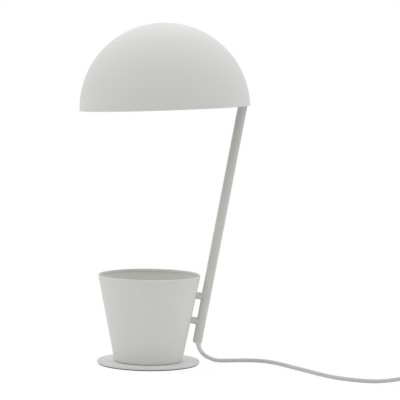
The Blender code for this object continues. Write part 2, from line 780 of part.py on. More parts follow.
def make_knuckle(stem):
    """The plug in the tube's end with the hinge's lug, slotted for the leads."""
    plug_radius = STEM_RADIUS - STEM_WALL - PLUG_FIT
    neck = STEM_LENGTH + GAP + LUG_ROOT_DEPTH
    knuckle = turned_pin(plug_radius, STEM_LENGTH - PLUG_LENGTH, neck, MIDDLE_STEPS)
    root = STEM_LENGTH + GAP
    centre = (-PIVOT_INSET, STEM_LENGTH + PIVOT_RISE)
    outline = hull_of_circle_and_points(
        centre, LUG_EYE_RADIUS, [(LUG_ROOT_HALF, root), (-LUG_ROOT_HALF, root)], MIDDLE_STEPS
    )
    lug = side_plate(outline, LUG_THICKNESS, -LUG_SIDE - LUG_THICKNESS / 2)
    fuse(knuckle, hide_as_cutter(lug, stem))
    reach = LUG_SIDE + LUG_THICKNESS + OVERRUN
    eye = turned_pin(TILT_SCREW_RADIUS + GAP, -reach, reach, SMALL_STEPS)
    place = (-PIVOT_INSET, 0, STEM_LENGTH + PIVOT_RISE)
    cut(knuckle, hide_as_cutter(moved(eye, place, (math.pi / 2, 0, 0)), stem))
    slot = box_body(
        (-LEAD_SLOT_HALF, LEAD_SLOT_HALF),
        (LUG_SIDE, STEM_RADIUS),
        (STEM_LENGTH - PLUG_LENGTH - OVERRUN, neck + OVERRUN),
    )
    cut(knuckle, hide_as_cutter(slot, stem))
    cut(knuckle, hide_as_cutter(stem_pin_body(STEM_PIN_RADIUS + GAP, STEM_RADIUS), stem))
    dress(knuckle, "stem_knuckle", "zinc_steel", stem)
    half = math.sqrt(1 - STEM_PIN_SIDE_SHARE**2) * STEM_RADIUS - GAP
    dress(stem_pin_body(STEM_PIN_RADIUS, half), "stem_pin", "zinc_steel", stem)


def hinge_side(depth):
    """A Y place on the hinge's axis, counted from the lug's outer face towards the head."""
    return -(LUG_SIDE + LUG_THICKNESS + depth)


def hinge_ring(radius, depth, thickness, name, stem):
    """A washer on the tilt screw whose near face lies at this depth."""
    low = -hinge_side(depth)
    bore = TILT_SCREW_RADIUS + GAP
    ring = turned_ring(radius, bore, low, low + thickness, MIDDLE_STEPS)
    place = (-PIVOT_INSET, 0, STEM_LENGTH + PIVOT_RISE)
    dress(moved(ring, place, (math.pi / 2, 0, 0)), name, "zinc_steel", stem)


def make_hinge_screw(stem):
    hinge_ring(FRICTION_WASHER_RADIUS, GAP, FRICTION_WASHER_THICKNESS, "friction_washer", stem)
    spring = EAR_DEPTH + EAR_THICKNESS + GAP
    hinge_ring(SPRING_WASHER_RADIUS, spring, SPRING_WASHER_THICKNESS, "tilt_spring_washer", stem)
    head = spring + SPRING_WASHER_THICKNESS + GAP
    seat = -hinge_side(head)
    screw = pan_screw(
        TILT_SCREW_RADIUS, seat - LUG_SIDE - GAP, TILT_SCREW_HEAD_RADIUS, TILT_SCREW_HEAD_HEIGHT
    )
    screw.data.transform(Matrix.Translation((0, 0, seat)))
    place = (-PIVOT_INSET, 0, STEM_LENGTH + PIVOT_RISE)
    dress(moved(screw, place, (math.pi / 2, 0, 0)), "tilt_screw", "zinc_steel", stem)


# Shade and its strap
def strap_radii():
    """The strap's outer and inner radius: its side edges clear the faceted round wall."""
    facets = math.cos(math.pi / ROUND_STEPS) * math.cos(math.pi / (4 * SHADE_RINGS))
    outer = math.sqrt((SHADE_INNER * facets) ** 2 - STRAP_HALF_WIDTH**2) - GAP
    return outer, outer - STRAP_THICKNESS


def stud_stack():
    """Radii, counted from the shade's centre: washer seat, nut seat and the stud's tip."""
    inner = strap_radii()[1] * math.cos((STRAP_HIGH_ANGLE - STRAP_LOW_ANGLE) / (2 * STRAP_STEPS))
    washer = math.sqrt(inner**2 - STUD_WASHER_RADIUS**2) - GAP
    nut_seat = washer - STUD_WASHER_THICKNESS - GAP
    return washer, nut_seat, nut_seat - STUD_NUT_HEIGHT - STUD_TIP


def radial(piece, angle):
    """Turn a piece so that its Z points from the shade's centre outwards at this angle."""
    return moved(piece, turn=(0, math.pi / 2 - angle, 0))


def make_shade(centre):
    """A half sphere open below, with its two weld studs."""
    quarter = math.pi / 2
    outside = arc((0, 0), SHADE_RADIUS, quarter, 0, SHADE_RINGS)
    inside = arc((0, 0), SHADE_INNER, 0, quarter, SHADE_RINGS)
    outside[0] = (0, SHADE_RADIUS)
    inside[-1] = (0, SHADE_INNER)
    shade = turned(outside + inside, ROUND_STEPS)
    root = SHADE_RADIUS - SHADE_WALL / 2
    for angle in STUD_ANGLES:
        stud = turned_pin(STUD_RADIUS, stud_stack()[2], root, SMALL_STEPS)
        fuse(shade, hide_as_cutter(radial(stud, angle), centre))
    dress(shade, "shade_dome", "white_powder_coat", centre)


def strap_outline():
    """The strap along the shade's wall and its leg, which carries the lampholder."""
    outer, inner = strap_radii()
    near = HOLDER_LEG_PLACE
    far = HOLDER_LEG_PLACE + STRAP_THICKNESS
    foot = HOLDER_HEIGHT - HOLDER_LEG_BELOW
    bend = math.acos(near / outer)
    inner_bend = math.acos(far / inner)
    up = arc((0, 0), outer, STRAP_LOW_ANGLE, bend, STRAP_STEPS)
    down = arc((0, 0), inner, inner_bend, STRAP_LOW_ANGLE, STRAP_STEPS)
    return [*up, (near, foot), (far, foot), *down]


def make_bracket(centre, tilt):
    strap = side_plate(strap_outline(), STRAP_HALF_WIDTH * 2)
    outer, inner = strap_radii()
    middle = (outer + inner) / 2
    ends = [
        (middle * math.cos(angle) - PIVOT_OUT, middle * math.sin(angle) - PIVOT_ABOVE_RIM)
        for angle in (STRAP_LOW_ANGLE, EAR_TOP_ANGLE)
    ]
    outline = hull_of_circle_and_points((0, 0), EAR_RADIUS, ends, MIDDLE_STEPS)
    ear = side_plate(outline, EAR_THICKNESS, EAR_THICKNESS / 2 - STRAP_HALF_WIDTH)
    fuse(strap, hide_as_cutter(ear, tilt))
    eye = turned_pin(TILT_SCREW_RADIUS + GAP, 0, STRAP_HALF_WIDTH + OVERRUN, SMALL_STEPS)
    cut(strap, hide_as_cutter(moved(eye, turn=(math.pi / 2, 0, 0)), tilt))
    for angle in STUD_ANGLES:
        hole = turned_pin(STUD_RADIUS + GAP, inner - OVERRUN, outer + OVERRUN, SMALL_STEPS)
        cut(strap, hide_as_cutter(radial(hole, angle), centre))
    hole = turned_pin(NIPPLE_RADIUS + GAP, -STRAP_THICKNESS - OVERRUN, OVERRUN, MIDDLE_STEPS)
    cut(strap, hide_as_cutter(moved(hole, *HOLDER_PLACE), centre))
    dress(strap, "shade_bracket", "white_powder_coat", centre)


def make_bracket_fasteners(centre):
    washer_seat, nut_seat, _ = stud_stack()
    bore = STUD_RADIUS + GAP
    for name, angle in zip(("lower", "upper"), STUD_ANGLES):
        low = washer_seat - STUD_WASHER_THICKNESS
        washer = turned_ring(STUD_WASHER_RADIUS, bore, low, washer_seat, SMALL_STEPS)
        dress(radial(washer, angle), f"{name}_bracket_washer", "zinc_steel", centre)
        body = nut(STUD_NUT_FLATS, STUD_NUT_HEIGHT, bore)
        body.data.transform(Matrix.Translation((0, 0, nut_seat - STUD_NUT_HEIGHT / 2)))
        dress(radial(body, angle), f"{name}_bracket_nut", "zinc_steel", centre)


# Lampholder and bulb, both round the holder's axis
def make_holder(holder):
    nipple = turned_ring(
        NIPPLE_RADIUS, NIPPLE_BORE, -NIPPLE_OUTSIDE, NIPPLE_INSIDE, MIDDLE_STEPS
    )
    dress(nipple, "holder_nipple", "zinc_steel", holder)
    bore = NIPPLE_RADIUS + GAP
    high = -STRAP_THICKNESS - GAP
    washer = turned_ring(
        NIPPLE_WASHER_RADIUS, bore, high - NIPPLE_WASHER_THICKNESS, high, MIDDLE_STEPS
    )
    dress(washer, "holder_washer", "zinc_steel", holder)
    middle = high - NIPPLE_WASHER_THICKNESS - GAP - NIPPLE_NUT_HEIGHT / 2
    locknut = nut(NIPPLE_NUT_FLATS, NIPPLE_NUT_HEIGHT, bore)
    dress(moved(locknut, (0, 0, middle)), "holder_locknut", "zinc_steel", holder)

    inner = HOLDER_RADIUS - HOLDER_WALL
    cap_end = GAP + HOLDER_CAP_LENGTH
    outline = [
        (HOLDER_RADIUS, cap_end, 0),
        (HOLDER_RADIUS, GAP, HOLDER_CAP_FILLET),
        (bore, GAP, 0),
        (bore, GAP + HOLDER_REAR_WALL, 0),
        (inner, GAP + HOLDER_REAR_WALL, HOLDER_CAP_FILLET / 2),
        (inner, cap_end, 0),
    ]
    cap = turned(filleted(outline), MIDDLE_STEPS, closed=True)
    dress(cap, "lampholder_cap", "white_plastic", holder)
    low = cap_end + GAP
    high = low + HOLDER_BARREL_LENGTH
    grip = HOLDER_RADIUS - HOLDER_GRIP_DEPTH
    step = HOLDER_BARREL_LENGTH * HOLDER_GRIP_SHARE
    outline = [
        (grip, high, HOLDER_GRIP_DEPTH),
        (grip, low + step, 0),
        (HOLDER_RADIUS, low + step, HOLDER_GRIP_DEPTH),
        (HOLDER_RADIUS, low, 0),
        (inner, low, 0),
        (inner, high, 0),
    ]
    barrel = turned(filleted(outline), MIDDLE_STEPS, closed=True)
    dress(barrel, "lampholder_barrel", "white_plastic", holder)


def make_socket(holder):
    """The ceramic core, the threaded shell, the centre tongue and the terminals."""
    radius = HOLDER_RADIUS - HOLDER_WALL - GAP
    end = CORE_START + CORE_LENGTH
    core = turned_pin(radius, CORE_START, end, MIDDLE_STEPS)
    for side in (-1, 1):
        drill = turned_pin(CORE_BORE, CORE_START - OVERRUN, end + OVERRUN, SMALL_STEPS)
        cut(core, hide_as_cutter(moved(drill, (0, side * TERMINAL_SCREW_PLACE, 0)), holder))
    dress(core, "lampholder_core", "cream_ceramic", holder)
    low = end + GAP
    bore = SOCKET_RADIUS - SOCKET_WALL
    shell = turned_ring(SOCKET_RADIUS, bore, low, low + SOCKET_LENGTH, MIDDLE_STEPS)
    dress(shell, "lampholder_shell", "brass", holder)
    outline = [
        (-TONGUE_REACH, low),
        (0, low),
        (TONGUE_REACH, low + TONGUE_LIFT),
        (TONGUE_REACH, low + TONGUE_LIFT + TONGUE_THICKNESS),
        (0, low + TONGUE_THICKNESS),
        (-TONGUE_REACH, low + TONGUE_THICKNESS),
    ]
    dress(side_plate(outline, TONGUE_WIDTH), "lampholder_tongue", "brass", holder)
    for name, side in (("first", -1), ("second", 1)):
        shank = TERMINAL_SCREW_LENGTH
        screw = pan_screw(
            TERMINAL_SCREW_RADIUS - GAP, shank, TERMINAL_SCREW_HEAD_RADIUS, TERMINAL_SCREW_HEAD_HEIGHT
        )
        place = (0, side * TERMINAL_SCREW_PLACE, CORE_START - GAP)
        name = f"{name}_terminal_screw"
        dress(moved(screw, place, (math.pi, 0, 0)), name, "brass", holder)


def make_bulb(holder):
    start = BULB_CAP_START
    inner = BULB_CAP_RADIUS - BULB_CAP_WALL
    end = start + BULB_CAP_LENGTH
    outline = [
        (BULB_CAP_RADIUS, end, 0),
        (BULB_CAP_RADIUS, start, BULB_CAP_WALL),
        (BULB_CONTACT_RADIUS, start, 0),
        (BULB_CONTACT_RADIUS, start + BULB_CAP_WALL, 0),
        (inner, start + BULB_CAP_WALL, 0),
        (inner, end, 0),
    ]
    cap = turned(filleted(outline), MIDDLE_STEPS, closed=True)
    dress(cap, "bulb_cap", "zinc_steel", holder)
    high = start - GAP
    low = high - BULB_INSULATOR_LENGTH
    outline = [
        (BULB_CAP_RADIUS - BULB_CAP_WALL, high),
        (BULB_INSULATOR_TIP_RADIUS, low),
        (0, low),
    ]
    dress(turned([(0, high), *outline], MIDDLE_STEPS), "bulb_insulator", "black_glass", holder)
    high = low - GAP
    contact = turned_pin(BULB_CONTACT_RADIUS, high - BULB_CONTACT_LENGTH, high, SMALL_STEPS)
    dress(contact, "bulb_contact", "zinc_steel", holder)
    middle = BULB_END - BULB_RADIUS
    seat = end + GAP
    dress(turned(bulb_outline(middle, seat), MIDDLE_STEPS), "bulb_glass", "opal_glass", holder)


def bulb_outline(middle, seat):
    """Half outline of the glass: its outer side from the far end down to the open neck."""
    outside = ball_and_neck(middle, seat, 0)
    inside = ball_and_neck(middle, seat, BULB_GLASS)
    return outside + inside[::-1]


def ball_and_neck(middle, seat, depth):
    """The ball meets the neck where its radius has shrunk to the neck's."""
    radius = BULB_RADIUS - depth
    neck = BULB_NECK_RADIUS - depth
    meet = math.asin(neck / radius) - math.pi / 2
    ball = arc((0, middle), radius, math.pi / 2, meet, BULB_RINGS)
    ball[0] = (0, middle + radius)
    return [*ball, (neck, seat)]


# Leads inside the lamp
def make_stem_leads(stem):
    top = STEM_LENGTH - LEAD_CABLE_TOP
    cable = turned_pin(LEAD_CABLE_RADIUS, BUSH_DEPTH + GAP, top, SMALL_STEPS)
    dress(cable, "stem_lead", "white_cord", stem)
    heading = Vector((-math.sin(LEAD_HEADING), 0, math.cos(LEAD_HEADING)))
    plug_foot = STEM_LENGTH - PLUG_LENGTH - GAP
    for name, material, start, side in LEAD_CORES:
        pivot = Vector((-PIVOT_INSET, side, STEM_LENGTH + PIVOT_RISE))
        route = [
            (0, start, top + GAP),
            (0, start, top + GAP + LEAD_CORE_RADIUS),
            (0, side, plug_foot),
            (0, side, STEM_LENGTH),
            pivot - heading * LEAD_PIVOT_REACH,
            pivot - heading * LEAD_PIVOT_GAP / 2,
        ]
        core = tube(smooth_path(route, LEAD_SPACING), LEAD_CORE_RADIUS, CORD_SIDES)
        dress(core, f"stem_core_{name}", material, stem)


def make_shade_leads(centre):
    """The two cores from the hinge's axis through the nipple to the terminals."""
    angle = LEAD_HEADING - STEM_LEAN - SHADE_TILT
    heading = Vector((-math.sin(angle), 0, math.cos(angle)))
    mouth = HOLDER_LEG_PLACE + NIPPLE_OUTSIDE
    for (name, material, _, side), way in zip(LEAD_CORES, (-1, 1)):
        pivot = Vector((PIVOT_OUT, side, PIVOT_ABOVE_RIM))
        inside = way * LEAD_NIPPLE_SIDE
        route = [
            pivot + heading * LEAD_PIVOT_GAP / 2,
            pivot + heading * LEAD_PIVOT_REACH,
            (mouth + LEAD_BEND, (side + inside) / 2, HOLDER_HEIGHT - LEAD_BEND),
            (mouth, inside, HOLDER_HEIGHT),
            (HOLDER_LEG_PLACE - NIPPLE_INSIDE, inside, HOLDER_HEIGHT),
            (HOLDER_LEG_PLACE - CORE_START + GAP, way * LEAD_TERMINAL_SIDE, HOLDER_HEIGHT),
        ]
        core = tube(smooth_path(route, LEAD_SPACING), LEAD_CORE_RADIUS, CORD_SIDES)
        dress(core, f"shade_core_{name}", material, centre)


# Cord
def cord_route():
    return [Vector(place) * MILLIMETRE for place in CORD_ROUTE_MM]


def stretch(points, start, end):
    """The part of a polyline between two lengths along it."""
    kept = []
    walked = 0
    for a, b in zip(points, points[1:]):
        step = (b - a).length
        if walked <= start < walked + step:
            kept.append(a.lerp(b, (start - walked) / step))
        if start < walked + step < end:
            kept.append(b)
        if walked < end <= walked + step:
            kept.append(a.lerp(b, (end - walked) / step))
        walked += step
    return kept


def path_length(points):
    return sum((b - a).length for a, b in zip(points, points[1:]))


def make_bush(stem):
    """The bush in the tube's lower end, moulded in one with the tapered strain relief."""
    plug = STEM_RADIUS - STEM_WALL - PLUG_FIT
    outline = [
        (0, BUSH_DEPTH, 0),
        (plug, BUSH_DEPTH, 0),
        (plug, -GAP, 0),
        (STEM_RADIUS, -GAP, 0),
        (STEM_RADIUS, -GAP - BUSH_FLANGE, BUSH_FLANGE_FILLET),
        (0, -GAP - BUSH_FLANGE, 0),
    ]
    bush = turned(filleted(outline, closed=False), MIDDLE_STEPS)
    fine = smooth_path(cord_route(), RELIEF_SPACING)
    nose = stretch(fine, 0, RELIEF_LENGTH)
    end_share = RELIEF_END_RADIUS / RELIEF_START_RADIUS
    last = len(nose) - 1
    shares = [1 + (end_share - 1) * i / last for i in range(len(nose))]
    relief = as_mesh(tube(nose, RELIEF_START_RADIUS, CORD_SIDES + 2, shares))
    relief.data.transform(stem.matrix_basis.inverted())
    fuse(bush, hide_as_cutter(relief, stem))
    dress(bush, "cord_bush", "white_plastic", stem)


def make_cord_lead():
    """The stretch from the strain relief to the switch. Returns where it ends."""
    fine = smooth_path(cord_route(), RELIEF_SPACING)
    whole = path_length(fine)
    free = stretch(fine, RELIEF_LENGTH + GAP, whole)
    points = [free[0], *free[1:-2:CORD_THINNING], free[-2], free[-1]]
    dress(tube(points, CORD_RADIUS, CORD_SIDES), "cord_lead", "white_cord")
    return cord_route()[-1]


def rise_between(start, length, rise):
    """Places of a short cord along +X that rises and ends level."""
    level = length * CORD_LEVEL_SHARE
    return [
        start,
        start + Vector((level, 0, 0)),
        start + Vector((length - level, 0, rise)),
        start + Vector((length, 0, rise)),
    ]


def make_short_cord(name, start, length, rise):
    points = smooth_path(rise_between(start, length, rise), CORD_RADIUS * 2)
    dress(tube(points, CORD_RADIUS, CORD_SIDES), name, "white_cord")


def coil_levels():
    low = CORD_RADIUS + COIL_FLOOR_CLEARANCE
    return low, low + COIL_PITCH


def coil_outer():
    return COIL_INNER_RADIUS + COIL_PITCH * COIL_LAYER_TURNS


def coil_points(entry):
    """In along the upper layer and out along the lower one, entry and exit along +X."""
    low, high = coil_levels()
    middle = 2 * math.pi * COIL_LAYER_TURNS
    centre = entry + Vector((0, coil_outer(), 0))
    count = round(2 * COIL_LAYER_TURNS * COIL_LOOP_POINTS)
    points = [Vector((entry.x - COIL_END_STRAIGHT, entry.y, high))]
    for i in range(count + 1):
        turn = 2 * middle * i / count
        radius = COIL_INNER_RADIUS + COIL_PITCH * abs(turn - middle) / (2 * math.pi)
        fall = min(max((turn - middle) / math.pi + 1 / 2, 0), 1)
        height = high + (low - high) * fall * fall * (3 - 2 * fall)
        angle = turn - math.pi / 2
        across = Vector((math.cos(angle), math.sin(angle), 0)) * radius
        points.append(Vector((centre.x, centre.y, height)) + across)
    points.append(Vector((entry.x + COIL_END_STRAIGHT, entry.y, low)))
    return points


def least_self_gap(points):
    """The least clear space between two turns, measured from point to segment."""
    least = math.inf
    skip = COIL_LOOP_POINTS // 2
    for i, point in enumerate(points):
        for j in range(i + skip, len(points) - 1):
            a, b = points[j], points[j + 1]
            along = b - a
            t = min(max((point - a).dot(along) / along.length_squared, 0), 1)
            least = min(least, (point - a - along * t).length)
    return least - 2 * CORD_RADIUS


def make_coil(entry):
    points = coil_points(entry)
    gap = least_self_gap(points) / MILLIMETRE
    length = path_length(points) / MILLIMETRE
    print(f"coil: {length:.0f} mm of cord, least gap between turns {gap:.2f} mm")
    dress(tube(points, CORD_RADIUS, COIL_SIDES), "cord_coil", "white_cord")
    make_tie(entry)


def make_tie(entry):
    """A band round the bundle, on the side away from the coil's two ends."""
    low, high = coil_levels()
    half = CORD_RADIUS + TIE_ROOM
    near = coil_outer() + COIL_INNER_RADIUS + COIL_PITCH / 2 - half
    far = 2 * coil_outer() - COIL_PITCH / 2 + half
    inner = rounded_box(near, far, low - half, high + half, TIE_FILLET)
    wall = TIE_THICKNESS
    outer = rounded_box(
        near - wall, far + wall, low - half - wall, high + half + wall, TIE_FILLET + wall
    )
    tie = plate(outer, TIE_WIDTH, [inner])
    dress(moved(tie, (entry.x, entry.y, 0), (math.pi / 2, 0, math.pi / 2)), "cord_tie", "black_sleeve")


def rounded_box(left, right, low, high, fillet):
    return filleted(
        [(left, low, fillet), (right, low, fillet), (right, high, fillet), (left, high, fillet)]
    )


# Switch on the cord, lying along +X
def switch_outline(inset):
    half, side = SWITCH_LENGTH / 2 - inset, SWITCH_WIDTH / 2 - inset
    return rounded_box(-half, half, -side, side, SWITCH_CORNER - inset)


def slab(outline, low, high):
    made = plate(outline, high - low)
    made.data.transform(Matrix.Translation((0, 0, (low + high) / 2)))
    return made


def rounded_slab(outline, low, high):
    """A slab with its outer edges bevelled."""
    made = slab(outline, low, high)
    bevel = made.modifiers.new("edge", "BEVEL")
    bevel.width = SWITCH_EDGE_BEVEL
    bevel.segments = 2
    bevel.limit_method = "ANGLE"
    bevel.angle_limit = SHARP_ANGLE
    return made


def make_switch_case(switch):
    low_top = SWITCH_SPLIT - GAP / 2
    high_foot = SWITCH_SPLIT + GAP / 2
    pillar = SWITCH_SCREW_HEAD_RADIUS + GAP + SWITCH_WALL / 2
    base = rounded_slab(switch_outline(0), 0, SWITCH_HEIGHT)
    cut(base, hide_as_cutter(slab(switch_outline(-OVERRUN), low_top, SWITCH_HEIGHT * 2), switch))
    cut(base, hide_as_cutter(slab(switch_outline(SWITCH_WALL), SWITCH_WALL, SWITCH_SPLIT * 2), switch))
    cover = rounded_slab(switch_outline(0), 0, SWITCH_HEIGHT)
    cut(cover, hide_as_cutter(slab(switch_outline(-OVERRUN), -SWITCH_HEIGHT, high_foot), switch))
    roof = SWITCH_HEIGHT - SWITCH_WALL
    cut(cover, hide_as_cutter(slab(switch_outline(SWITCH_WALL), -SWITCH_HEIGHT, roof), switch))
    window = box_body(
        (-SWITCH_WINDOW_LENGTH / 2, SWITCH_WINDOW_LENGTH / 2),
        (-SWITCH_WINDOW_WIDTH / 2, SWITCH_WINDOW_WIDTH / 2),
        (roof - OVERRUN, SWITCH_HEIGHT + OVERRUN),
    )
    cut(cover, hide_as_cutter(window, switch))
    for side in (-1, 1):
        place = (side * SWITCH_SCREW_PLACE, 0, 0)
        post = turned_pin(pillar, SWITCH_WALL / 2, low_top, SMALL_STEPS)
        fuse(base, hide_as_cutter(moved(post, place), switch))
        sink = SWITCH_SCREW_HEAD_HEIGHT + GAP
        head = turned_pin(SWITCH_SCREW_HEAD_RADIUS + GAP, -OVERRUN, sink, SMALL_STEPS)
        cut(base, hide_as_cutter(moved(head, place), switch))
        shank = turned_pin(SWITCH_SCREW_RADIUS + GAP, 0, SWITCH_SPLIT, SMALL_STEPS)
        cut(base, hide_as_cutter(moved(shank, place), switch))
        post = turned_pin(pillar, high_foot, SWITCH_HEIGHT - SWITCH_WALL / 2, SMALL_STEPS)
        fuse(cover, hide_as_cutter(moved(post, place), switch))
        tip = turned_pin(SWITCH_SCREW_RADIUS + GAP, 0, switch_screw_tip() + GAP, SMALL_STEPS)
        cut(cover, hide_as_cutter(moved(tip, place), switch))
    dress(base, "switch_base", "white_plastic", switch)
    dress(cover, "switch_cover", "white_plastic", switch)


def switch_screw_tip():
    return SWITCH_HEIGHT - SWITCH_WALL * 2


def make_switch_screws(switch):
    for name, side in (("first", -1), ("second", 1)):
        head = SWITCH_SCREW_HEAD_HEIGHT
        screw = pan_screw(SWITCH_SCREW_RADIUS, switch_screw_tip() - head, SWITCH_SCREW_HEAD_RADIUS, head)
        place = (side * SWITCH_SCREW_PLACE, 0, head)
        dress(moved(screw, place, (math.pi, 0, 0)), f"{name}_switch_screw", "zinc_steel", switch)


def rocker_outline():
    """Half turned ends round the pivot, a shallow valley on top."""
    radius = SWITCH_WINDOW_LENGTH / 2 - ROCKER_FIT
    high = math.asin(ROCKER_RISE / radius) - ROCKER_ANGLE
    low = -math.asin(ROCKER_SKIRT / radius)
    right = arc((0, 0), radius, low, high, FILLET_STEPS)
    left = arc((0, 0), radius, math.pi - high, math.pi - low, FILLET_STEPS)
    return [*right, (0, ROCKER_DIP), *left]


def make_rocker(switch):
    pivot = empty("rocker_axis", (0, 0, ROCKER_PIVOT_HEIGHT), (0, ROCKER_ANGLE, 0), switch)
    width = SWITCH_WINDOW_WIDTH - 2 * ROCKER_FIT
    bore = circle((0, 0), ROCKER_BORE, SMALL_STEPS)
    dress(side_plate(rocker_outline(), width, 0, [bore]), "switch_rocker", "white_plastic", pivot)
    half = SWITCH_WIDTH / 2 - SWITCH_WALL - GAP
    axle = turned_pin(ROCKER_PIN_RADIUS, -half, half, SMALL_STEPS)
    place = (0, 0, ROCKER_PIVOT_HEIGHT)
    dress(moved(axle, place, (math.pi / 2, 0, 0)), "switch_axle", "zinc_steel", switch)
    low = SWITCH_WALL + GAP
    thick = SWITCH_CONTACT_THICKNESS
    start, end = SWITCH_CONTACT_PLACE - SWITCH_CONTACT_LENGTH, SWITCH_CONTACT_PLACE
    outline = [
        (start, low),
        (end, low),
        (end, low + SWITCH_CONTACT_HEIGHT),
        (end - thick, low + SWITCH_CONTACT_HEIGHT),
        (end - thick, low + thick),
        (start, low + thick),
    ]
    dress(side_plate(outline, SWITCH_CONTACT_WIDTH), "switch_contact", "brass", switch)


# Plug, lying flat along +X
def plug_outline():
    neck, half = PLUG_NECK_WIDTH / 2, PLUG_BODY_WIDTH / 2
    shoulder = PLUG_NECK_LENGTH + PLUG_SHOULDER
    fillet = PLUG_SHOULDER / 2
    return filleted(
        [
            (0, -neck, 0),
            (PLUG_NECK_LENGTH, -neck, fillet),
            (shoulder, -half, fillet),
            (PLUG_BODY_LENGTH, -half, 0),
            (PLUG_BODY_LENGTH, half, 0),
            (shoulder, half, fillet),
            (PLUG_NECK_LENGTH, neck, fillet),
            (0, neck, 0),
        ]
    )


def along_x(piece, place):
    """Lay a piece that is turned round Z along +X."""
    return moved(piece, place, (0, math.pi / 2, 0))


def make_plug(plug):
    body = rounded_slab(plug_outline(), 0, PLUG_BODY_HEIGHT)
    stem_bore = PLUG_PIN_STEM_RADIUS + GAP
    for name, side in (("left", 1), ("right", -1)):
        place = (PLUG_BODY_LENGTH, side * PLUG_PIN_SPACING / 2, PLUG_BODY_HEIGHT / 2)
        sleeve = turned_pin(PLUG_PIN_RADIUS, -PLUG_PIN_ROOT, PLUG_PIN_SLEEVE, SMALL_STEPS)
        fuse(body, hide_as_cutter(along_x(sleeve, place), plug))
        bore = turned_pin(stem_bore, -PLUG_PIN_ROOT, PLUG_PIN_SLEEVE + OVERRUN, SMALL_STEPS)
        cut(body, hide_as_cutter(along_x(bore, place), plug))
        tip = PLUG_PIN_SLEEVE + GAP
        outline = [
            (0, PLUG_PIN_LENGTH, 0),
            (PLUG_PIN_RADIUS, PLUG_PIN_LENGTH, PLUG_PIN_RADIUS * PLUG_PIN_NOSE_SHARE),
            (PLUG_PIN_RADIUS, tip, 0),
            (PLUG_PIN_STEM_RADIUS, tip, 0),
            (PLUG_PIN_STEM_RADIUS, GAP - PLUG_PIN_ROOT, 0),
            (0, GAP - PLUG_PIN_ROOT, 0),
        ]
        pin = turned(filleted(outline, closed=False), SMALL_STEPS)
        dress(along_x(pin, place), f"{name}_plug_pin", "nickel_pin", plug)
    dress(body, "plug_body", "white_plastic", plug)


def make_cord():
    """From the strain relief through the switch and the coil to the plug."""
    end = make_cord_lead()
    switch = empty("switch", (end.x + GAP + SWITCH_LENGTH / 2, end.y, 0))
    make_switch_case(switch)
    make_switch_screws(switch)
    make_rocker(switch)
    low, high = coil_levels()
    start = Vector((end.x + GAP + SWITCH_LENGTH + GAP, end.y, end.z))
    make_short_cord("cord_link", start, COIL_LEAD_IN, high - end.z)
    entry = start + Vector((COIL_LEAD_IN + GAP + COIL_END_STRAIGHT, 0, 0))
    make_coil(entry)
    start = Vector((entry.x + COIL_END_STRAIGHT + GAP, entry.y, low))
    make_short_cord("cord_tail", start, PLUG_LEAD, PLUG_BODY_HEIGHT / 2 - low)
    plug = empty("plug", (start.x + PLUG_LEAD + GAP, entry.y, 0))
    make_plug(plug)


def smooth_shading():
    for piece in bpy.data.collections[COLLECTION].objects:
        if piece.type == "MESH":
            piece.data.shade_smooth()
            piece.data.set_sharp_from_angle(angle=SHARP_ANGLE)


def main():
    clear_scene()
    new_collection(COLLECTION)
    new_collection(CUTTERS)
    make_base()
    make_foot_screw()
    stem = empty("stem_foot", stem_foot(), (0, STEM_LEAN, 0))
    tilt = empty("tilt_axis", tilt_pivot(), (0, -SHADE_TILT, 0))
    centre = empty("shade_centre", (-PIVOT_OUT, 0, -PIVOT_ABOVE_RIM), parent=tilt)
    holder = empty("holder_axis", *HOLDER_PLACE, parent=centre)
    make_cup(stem)
    for name, along in zip(("lower", "upper"), STUB_PLACES):
        make_stub(name, along, stem)
    make_stem(stem)
    make_knuckle(stem)
    make_hinge_screw(stem)
    make_stem_leads(stem)
    make_bush(stem)
    make_shade(centre)
    make_bracket(centre, tilt)
    make_bracket_fasteners(centre)
    make_holder(holder)
    make_socket(holder)
    make_bulb(holder)
    make_shade_leads(centre)
    make_cord()
    smooth_shading()


if __name__ == "__main__":
    main()
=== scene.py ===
"""Looks of a metal desk lamp: a domed shade on a leaning tube, tied to a cup on a round base."""
import logging
import math
from collections.abc import Callable
from dataclasses import dataclass, replace
from enum import Enum
from typing import ClassVar

import bmesh
import bpy
from mathutils import Matrix, Vector


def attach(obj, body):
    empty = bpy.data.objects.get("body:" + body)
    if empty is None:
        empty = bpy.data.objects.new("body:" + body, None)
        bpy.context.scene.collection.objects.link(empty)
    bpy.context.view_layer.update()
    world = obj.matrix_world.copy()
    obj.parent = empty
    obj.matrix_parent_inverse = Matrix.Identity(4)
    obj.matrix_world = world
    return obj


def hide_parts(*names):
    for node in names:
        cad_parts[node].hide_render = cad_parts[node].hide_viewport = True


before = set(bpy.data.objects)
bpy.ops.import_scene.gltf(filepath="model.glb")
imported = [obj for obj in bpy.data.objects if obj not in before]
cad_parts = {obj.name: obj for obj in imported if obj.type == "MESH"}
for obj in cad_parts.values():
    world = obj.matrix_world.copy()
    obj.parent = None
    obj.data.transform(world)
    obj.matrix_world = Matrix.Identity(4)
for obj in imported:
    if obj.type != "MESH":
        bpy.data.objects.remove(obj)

log = logging.getLogger("desk_lamp")

MM = 0.001
QUARTER = math.pi / 2
FULL_TURN = 2 * math.pi
SHARP = math.radians(38)  # edges that turn more than this stay crisp
WELD_DISTANCE = 0.002 * MM  # points closer than this become one
GAP = 0.3 * MM  # room between neighbouring parts
WHITE = (1, 1, 1, 1)
Piece = bpy.types.Object
Node = bpy.types.Node
Tree = bpy.types.NodeTree
Socket = bpy.types.NodeSocket
Triple = tuple[float, float, float]
Outline = list[tuple[float, float]]
Corners = list[Triple]  # each with its place and its fillet's radius


# Colour and nodes


